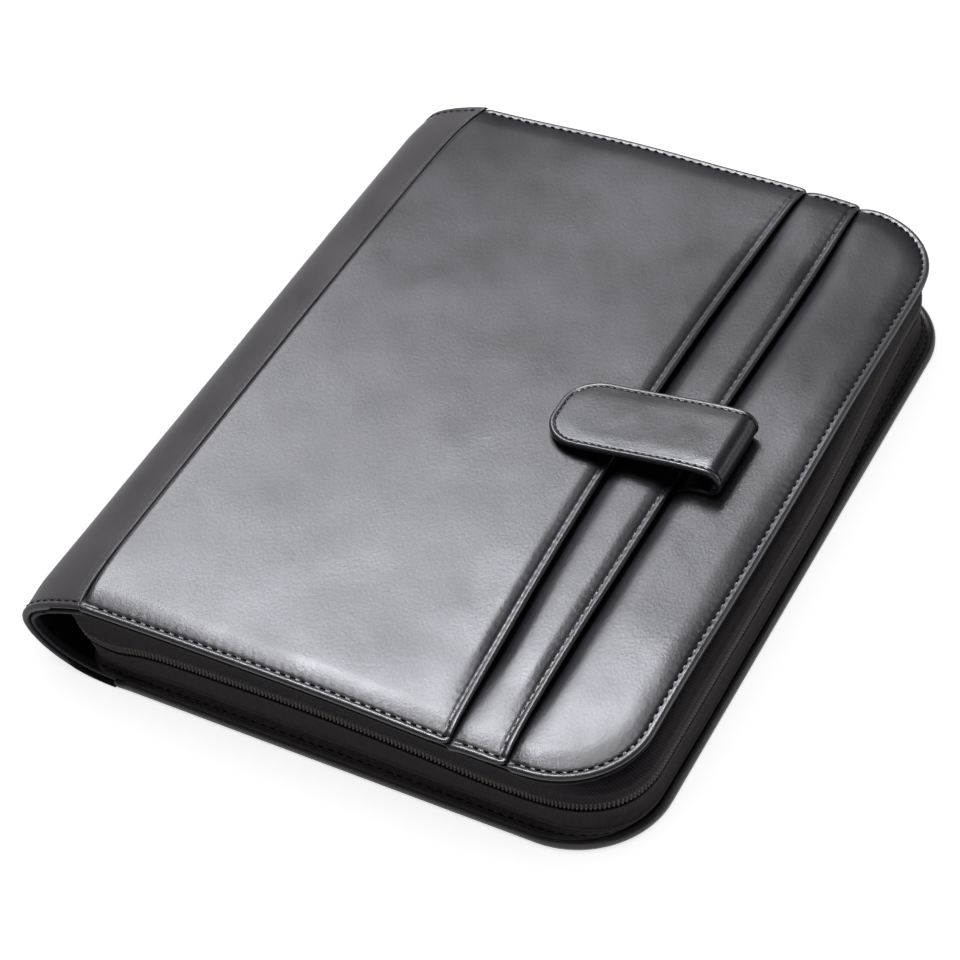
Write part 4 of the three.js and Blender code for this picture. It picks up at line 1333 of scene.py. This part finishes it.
def stitches(name, centres, directions, normals, length, radius, material):
    """One short thread for each centre, its ends sunk into the leather"""
    directions = directions / np.linalg.norm(directions, axis=1, keepdims=True)
    sides = np.cross(directions, normals)
    sides /= np.linalg.norm(sides, axis=1, keepdims=True)
    normals = np.cross(sides, directions)
    along = np.array([-1.0, -0.82, -0.45, 0.0, 0.45, 0.82, 1.0])
    size = radius * np.array([0.35, 0.8, 1.0, 1.05, 1.0, 0.8, 0.35])
    lift = radius * (0.55 - 1.9 * np.abs(along) ** 3)
    angle = np.linspace(0, 2 * math.pi, 6, endpoint=False)
    ring = size[:, None, None] * np.stack([np.cos(angle), np.sin(angle)], -1)[None]
    points = (
        centres[:, None, None]
        + directions[:, None, None] * (along * length / 2)[None, :, None, None]
        + normals[:, None, None] * (lift[None, :, None, None] + ring[None, ..., 1:])
        + sides[:, None, None] * ring[None, ..., :1]
    )
    count, levels, around = points.shape[:3]
    index = np.arange(around)
    step = (levels * around * np.arange(count))[:, None]
    bands = [strip_faces(level * around + index, (level + 1) * around + index) for level in range(levels - 1)]
    quads = (np.concatenate(bands)[None] + step[..., None]).reshape(-1, 4)
    caps = np.concatenate([index[::-1][None] + step, (levels - 1) * around + index[None] + step])
    return make(name, points.reshape(-1, 3), [quads, caps], (), material)


def between_holes(place, phase=0.0):
    """Places moved to the middles between the holes of a row"""
    return place - (place + phase) % STITCH_PITCH + STITCH_PITCH / 2


def surface_frame(height, x, y, dx, dy):
    """Place, direction and normal of a stitch that lies on a surface given by its height"""
    h = 0.4
    slope_x = (height(x + h, y) - height(x - h, y)) / (2 * h)
    slope_y = (height(x, y + h) - height(x, y - h)) / (2 * h)
    place = np.stack([x, y, height(x, y)], -1)
    direction = np.stack([dx, dy, slope_x * dx + slope_y * dy], -1)
    normal = np.stack([-slope_x, -slope_y, np.ones_like(x)], -1)
    return place, direction, normal / np.linalg.norm(normal, axis=1, keepdims=True)


def rim_row(rim, inset, first, last):
    """A row of stitches along a rim, clear of its ends by so many of them: places and directions"""
    edge, half, radius = rim
    cx, cy, quarter, r = edge - radius, half - radius, radius * math.pi / 2, radius - inset
    ends = (cx, cx + quarter, cx + quarter + 2 * cy, cx + 2 * quarter + 2 * cy)
    arc = np.arange(first * STITCH_PITCH, ends[3] + cx - last * STITCH_PITCH, STITCH_PITCH)
    a, b = (arc - ends[0]) / radius, (arc - ends[2]) / radius
    stretches = (
        (arc, inset - half, 1.0, 0.0),
        (cx + r * np.sin(a), -cy - r * np.cos(a), np.cos(a), np.sin(a)),
        (edge - inset, arc - ends[1] - cy, 0.0, 1.0),
        (cx + r * np.cos(b), cy + r * np.sin(b), -np.sin(b), np.cos(b)),
        (cx - (arc - ends[3]), half - inset, -1.0, 0.0),
    )
    within = [arc <= end for end in ends]
    return [np.select(within, parts, rest) for *parts, rest in zip(*stretches)]


def cover_height(x, y):
    """Height of whichever panel shows at a point near the rim"""
    panel = np.where(x < first_mouth(y), front_panel_top(x, y), strip_top(x, y))
    panel = np.where(x < second_mouth(y), panel, outer_panel_top(x, y))
    return panel + pillow(rim_distance(x, y)) - THREAD_SINK


def rim_stitches():
    x, y, dx, dy = rim_row(FRONT_RIM, STITCH_MARGIN, 2.5, 2)
    clear = (np.abs(x - first_mouth(y)) > 2.4) & (np.abs(x - second_mouth(y)) > 2.4)
    row = surface_frame(cover_height, *(part[clear] for part in (x, y, dx, dy)))
    return stitches("rim_stitches", *row, STITCH_LENGTH, THREAD_RADIUS, THREAD)


def mouth_stitches(name, mouth, top):
    y = np.arange(-38 * STITCH_PITCH, 38.5 * STITCH_PITCH, STITCH_PITCH) + 0.5 * STITCH_PITCH
    y = between_holes(y, MOUTH_PHASE)
    y = y[np.abs(y) < HALF - 6]
    slope = mouth(y + 0.5) - mouth(y - 0.5)
    x = mouth(y) - STITCH_MARGIN
    row = surface_frame(lambda a, b: top(a, b) - MOUTH_THREAD_SINK, x, y, slope, np.ones_like(y))
    return stitches(name, *row, STITCH_LENGTH, THREAD_RADIUS, THREAD)


def strap_stitches():
    place, line, out, _ = strap_line()
    inset, tip, depth = STRAP_STITCH_MARGIN, STRAP_TIP_RADIUS, STRAP_THREAD_SINK
    straight, quarter = STRAP_WIDTH / 2 - tip, tip * math.pi / 2
    run = straight + quarter + place[-1] - STRAP_TAIL - 16 - tip
    distance = np.arange(STRAP_STITCH_PITCH / 2, run, STRAP_STITCH_PITCH)
    a = (distance - straight) / tip
    stretches = (
        (inset, distance, 0.0, 1.0),
        (tip - (tip - inset) * np.cos(a), straight + (tip - inset) * np.sin(a), np.sin(a), np.cos(a)),
        (tip + distance - straight - quarter, STRAP_WIDTH / 2 - inset, 1.0, 0.0),
    )
    within = [distance < straight, distance < straight + quarter]
    half = np.stack([np.select(within, parts, rest) for *parts, rest in zip(*stretches)], 1)
    along, y, da, dy = np.concatenate([half, half * [1, -1, 1, -1]]).T
    px, pz, ox, oz = (np.interp(along, place, column) for column in (*line, *out))
    centres = np.stack([px - ox * depth, STRAP_CENTRE + y, pz - oz * depth], -1)
    directions = np.stack([oz * da, dy, -ox * da], -1)
    normals = np.stack([ox, 0 * ox, oz], -1)
    row = (centres, directions, normals)
    return stitches("strap_stitches", *row, STRAP_STITCH_LENGTH, FOOT_THREAD_RADIUS, THREAD)


def spine_row(place, y):
    """Centres and normals of a row of stitches on the spine"""
    here, inside = spine_point(place, y, 0.1), spine_point(place, y, 1.1)
    return here, here - inside


def spine_stitches():
    rows = []
    for y in (STITCH_MARGIN - HALF, HALF - STITCH_MARGIN):
        places = np.arange(float(seam_place(y)) + 4.5, NOSE_PLACE - 3, STITCH_PITCH)
        places = between_holes(places, SPINE_PHASE)
        here, normal = spine_row(places, y + 0 * places)
        rows.append((here, spine_point(places + 0.5, y + 0 * places, 0.1) - here, normal))
    parts = (np.concatenate(column) for column in zip(*rows))
    return stitches("spine_stitches", *parts, STITCH_LENGTH, FINE_THREAD_RADIUS, THREAD)


def seam_stitches():
    """The row that sews the spine's flap down beside the front panel"""
    y = np.arange(-HALF + 5.0, HALF - 4.0, FLAP_STITCH_PITCH)
    place = seam_place(y) + FLAP_STITCH_MARGIN
    here, normal = spine_row(place, y)
    row = (here, spine_point(place, y + 0.5, 0.1) - here, normal)
    return stitches("seam_stitches", *row, FLAP_STITCH_LENGTH, FLAP_THREAD_RADIUS, SPINE_THREAD)


def gusset_stitches():
    """The row that sews the gusset's foot to the back cover"""
    path = gusset_path(0.4)
    arc = travel(path[:2].T)
    spots = between_holes(np.arange(14.0, arc[-1] - 14.0, STITCH_PITCH))
    stops = np.array([np.interp(spots, arc, row) for row in path])
    height = lerp(foot_height(stops), slot_edge(stops, -1), FOOT_SEAM_LEVEL)
    place = gusset_point(stops, stand_out(stops, LOWER_SECTION, FOOT_SEAM_LEVEL) - 0.15, height)
    flat = 0 * spots
    out = np.stack([stops[2], stops[3], flat + 0.5], -1)
    along = np.stack([-stops[3], stops[2], flat], -1)
    return stitches("gusset_stitches", place, along, out, STITCH_LENGTH, FOOT_THREAD_RADIUS, THREAD)


def back_stitches():
    x, y, dx, dy = rim_row(BACK_RIM, BACK_STITCH_MARGIN, 5.5, 5)
    flat = np.zeros_like(x)
    place, along = np.stack([x, y, flat + BACK_TOP - BACK_THREAD_SINK], -1), np.stack([dx, dy, flat], -1)
    up = np.stack([flat, flat, flat + 1], -1)
    return stitches("back_stitches", place, along, up, STITCH_LENGTH, FINE_THREAD_RADIUS, THREAD)


# Putting it together

pieces = {
    "front_panel": (front_panel(), "leather", 0.55),
    "pocket_strip": (pocket_strip(), "leather", 0.5),
    "outer_panel": (outer_panel(), "leather", 0.55),
    "spine_panel": (spine_panel(), "leather", 0.4),
    "back_cover": (back_cover(), "leather", 0.4),
    "closure_strap": (closure_strap(), "leather", 0.5),
    "spine_lining": (spine_lining(), "lining", None),
    "front_lining": (front_lining(), "lining", None),
    "back_lining": (back_lining(), "lining", None),
    "gusset_upper": (gusset_upper(), "cloth", None),
    "gusset_lower": (gusset_lower(), "cloth", None),
    "zip_tape": (zip_tape(), "cloth", None),
    "zip_coil": (zip_coil(), "coil", None),
    "zip_slider": (zip_slider(), "metal", None),
    "strap_snap": (strap_snap(), "metal", None),
}
for name, (piece, slot, fill) in pieces.items():
    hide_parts(name)
    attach(piece, "root")

sewing = [
    rim_stitches(),
    mouth_stitches("first_mouth_stitches", first_mouth, front_panel_top),
    mouth_stitches("second_mouth_stitches", second_mouth, strip_top),
    strap_stitches(),
    spine_stitches(),
    seam_stitches(),
    gusset_stitches(),
    back_stitches(),
]
for piece in sewing:
    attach(piece, "root")


def stage_object(name, points, faces, base, rough, specular, glow):
    """A glowing object that stands round the case in the pictures alone"""
    mesh = bpy.data.meshes.new(name)
    mesh.from_pydata(points, [], faces)
    item = bpy.data.objects.new(name, mesh)
    bpy.context.scene.collection.objects.link(item)
    material, tree, shader = new_material("pale_" + name)
    dress(shader, tree, grey(base), rough, specular)
    shader.inputs["Emission Color"].default_value = grey(1.0)
    shader.inputs["Emission Strength"].default_value = glow
    mesh.materials.append(material)
    return item


# Floor, and a ring of white wall, seen by the camera alone, behind it in views from low down
FLOOR_HALF, FLOOR_LEVEL = 15.0, -0.0002
RING_RADIUS, RING_HEIGHT, RING_SIDES = 14.0, 12.0, 64
corners = ((-1, -1), (1, -1), (1, 1), (-1, 1))
floor_points = [(FLOOR_HALF * i, FLOOR_HALF * j, FLOOR_LEVEL) for i, j in corners]
floor = stage_object("floor", floor_points, [(0, 1, 2, 3)], 0.86, 0.9, 0.1, 0.65)

angles = [2 * math.pi * k / RING_SIDES for k in range(RING_SIDES)]
ring = [(RING_RADIUS * math.cos(a), RING_RADIUS * math.sin(a)) for a in angles]
ring_points = [(x, y, z) for z in (FLOOR_LEVEL, RING_HEIGHT) for x, y in ring]
ring_next = [(k, (k + 1) % RING_SIDES) for k in range(RING_SIDES)]
ring_faces = [(k, after, RING_SIDES + after, RING_SIDES + k) for k, after in ring_next]
backdrop = stage_object("backdrop", ring_points, ring_faces, 0.0, 0.5, 0.0, 1.0)
backdrop.visible_diffuse = False
backdrop.visible_glossy = False
backdrop.visible_transmission = False
backdrop.visible_shadow = False

lit_floor = bpy.data.collections.new("lit_floor")
lit_floor.objects.link(floor)
lit_case = bpy.data.collections.new("lit_case")
for item in bpy.data.objects:
    if item.type == "MESH" and item not in (floor, backdrop):
        lit_case.objects.link(item)


def add_light(name, kind, power, receivers):
    data = bpy.data.lights.new(name, kind)
    data.energy = power
    lamp = bpy.data.objects.new(name, data)
    bpy.context.scene.collection.objects.link(lamp)
    lamp.light_linking.receiver_collection = receivers
    return lamp


def area_light(name, azimuth, elevation, distance, size, power, tint=(1.0, 1.0, 1.0)):
    """A light on the case's middle from a compass angle from +X and an elevation, in degrees"""
    lamp = add_light(name, "AREA", power, lit_case)
    lamp.data.shape = "RECTANGLE"
    lamp.data.size, lamp.data.size_y = size
    lamp.data.color = tint
    a, e = math.radians(azimuth), math.radians(elevation)
    place = Vector((math.cos(e) * math.cos(a), math.cos(e) * math.sin(a), math.sin(e))) * distance
    lamp.location = place
    lamp.rotation_euler = (Vector((0.0, 0.0, 0.04)) - place).to_track_quat("-Z", "Y").to_euler()


sun = add_light("floor_light", "SUN", 1.6, lit_floor)
sun.data.angle = math.radians(120)
COOL = (0.93, 0.935, 1.0)
area_light("key_light", 131, 62, 1.28, (0.52, 0.34), 21.0, COOL)
area_light("left_light", 144, 43, 2.2, (0.55, 0.55), 18.5, COOL)
area_light("front_light", -68, 15, 2.2, (1.8, 0.4), 6.0, (0.97, 0.95, 1.0))
area_light("right_light", 42, 17, 2.2, (1.6, 0.3), 4.5)
area_light("back_light", 114, 41, 2.2, (1.2, 0.6), 2.0)
area_light("top_light", 120, 84, 2.2, (1.4, 0.6), 24.0, (0.97, 0.96, 1.0))

world = bpy.data.worlds.new("studio")
bpy.context.scene.world = world
world.use_nodes = True
world.node_tree.nodes["Background"].inputs[0].default_value = colour(0.86, 0.85, 0.92)
world.node_tree.nodes["Background"].inputs[1].default_value = 0.06

# The camera was solved from the case's outline
azimuth, elevation, roll = math.radians(30.855), math.radians(45.159), math.radians(-4.924)
level = math.cos(elevation)
back = Vector((math.sin(azimuth) * level, -math.cos(azimuth) * level, math.sin(elevation)))
right = Vector((math.cos(azimuth), math.sin(azimuth), 0.0))
up = back.cross(right)
rolled_right = math.cos(roll) * right + math.sin(roll) * up
rolled_up = -math.sin(roll) * right + math.cos(roll) * up
camera_data = bpy.data.cameras.new("camera")
camera_data.sensor_fit = "HORIZONTAL"
camera_data.sensor_width = 36.0
camera_data.lens = 108.44
camera_data.clip_end = 100.0
camera = bpy.data.objects.new("camera", camera_data)
bpy.context.scene.collection.objects.link(camera)
camera.matrix_world = Matrix.Translation((0.4372, -0.7621, 0.8821)) @ Matrix(
    (rolled_right, rolled_up, back)
).transposed().to_4x4()
bpy.context.scene.camera = camera
bpy.context.scene.view_settings.view_transform = "Standard"
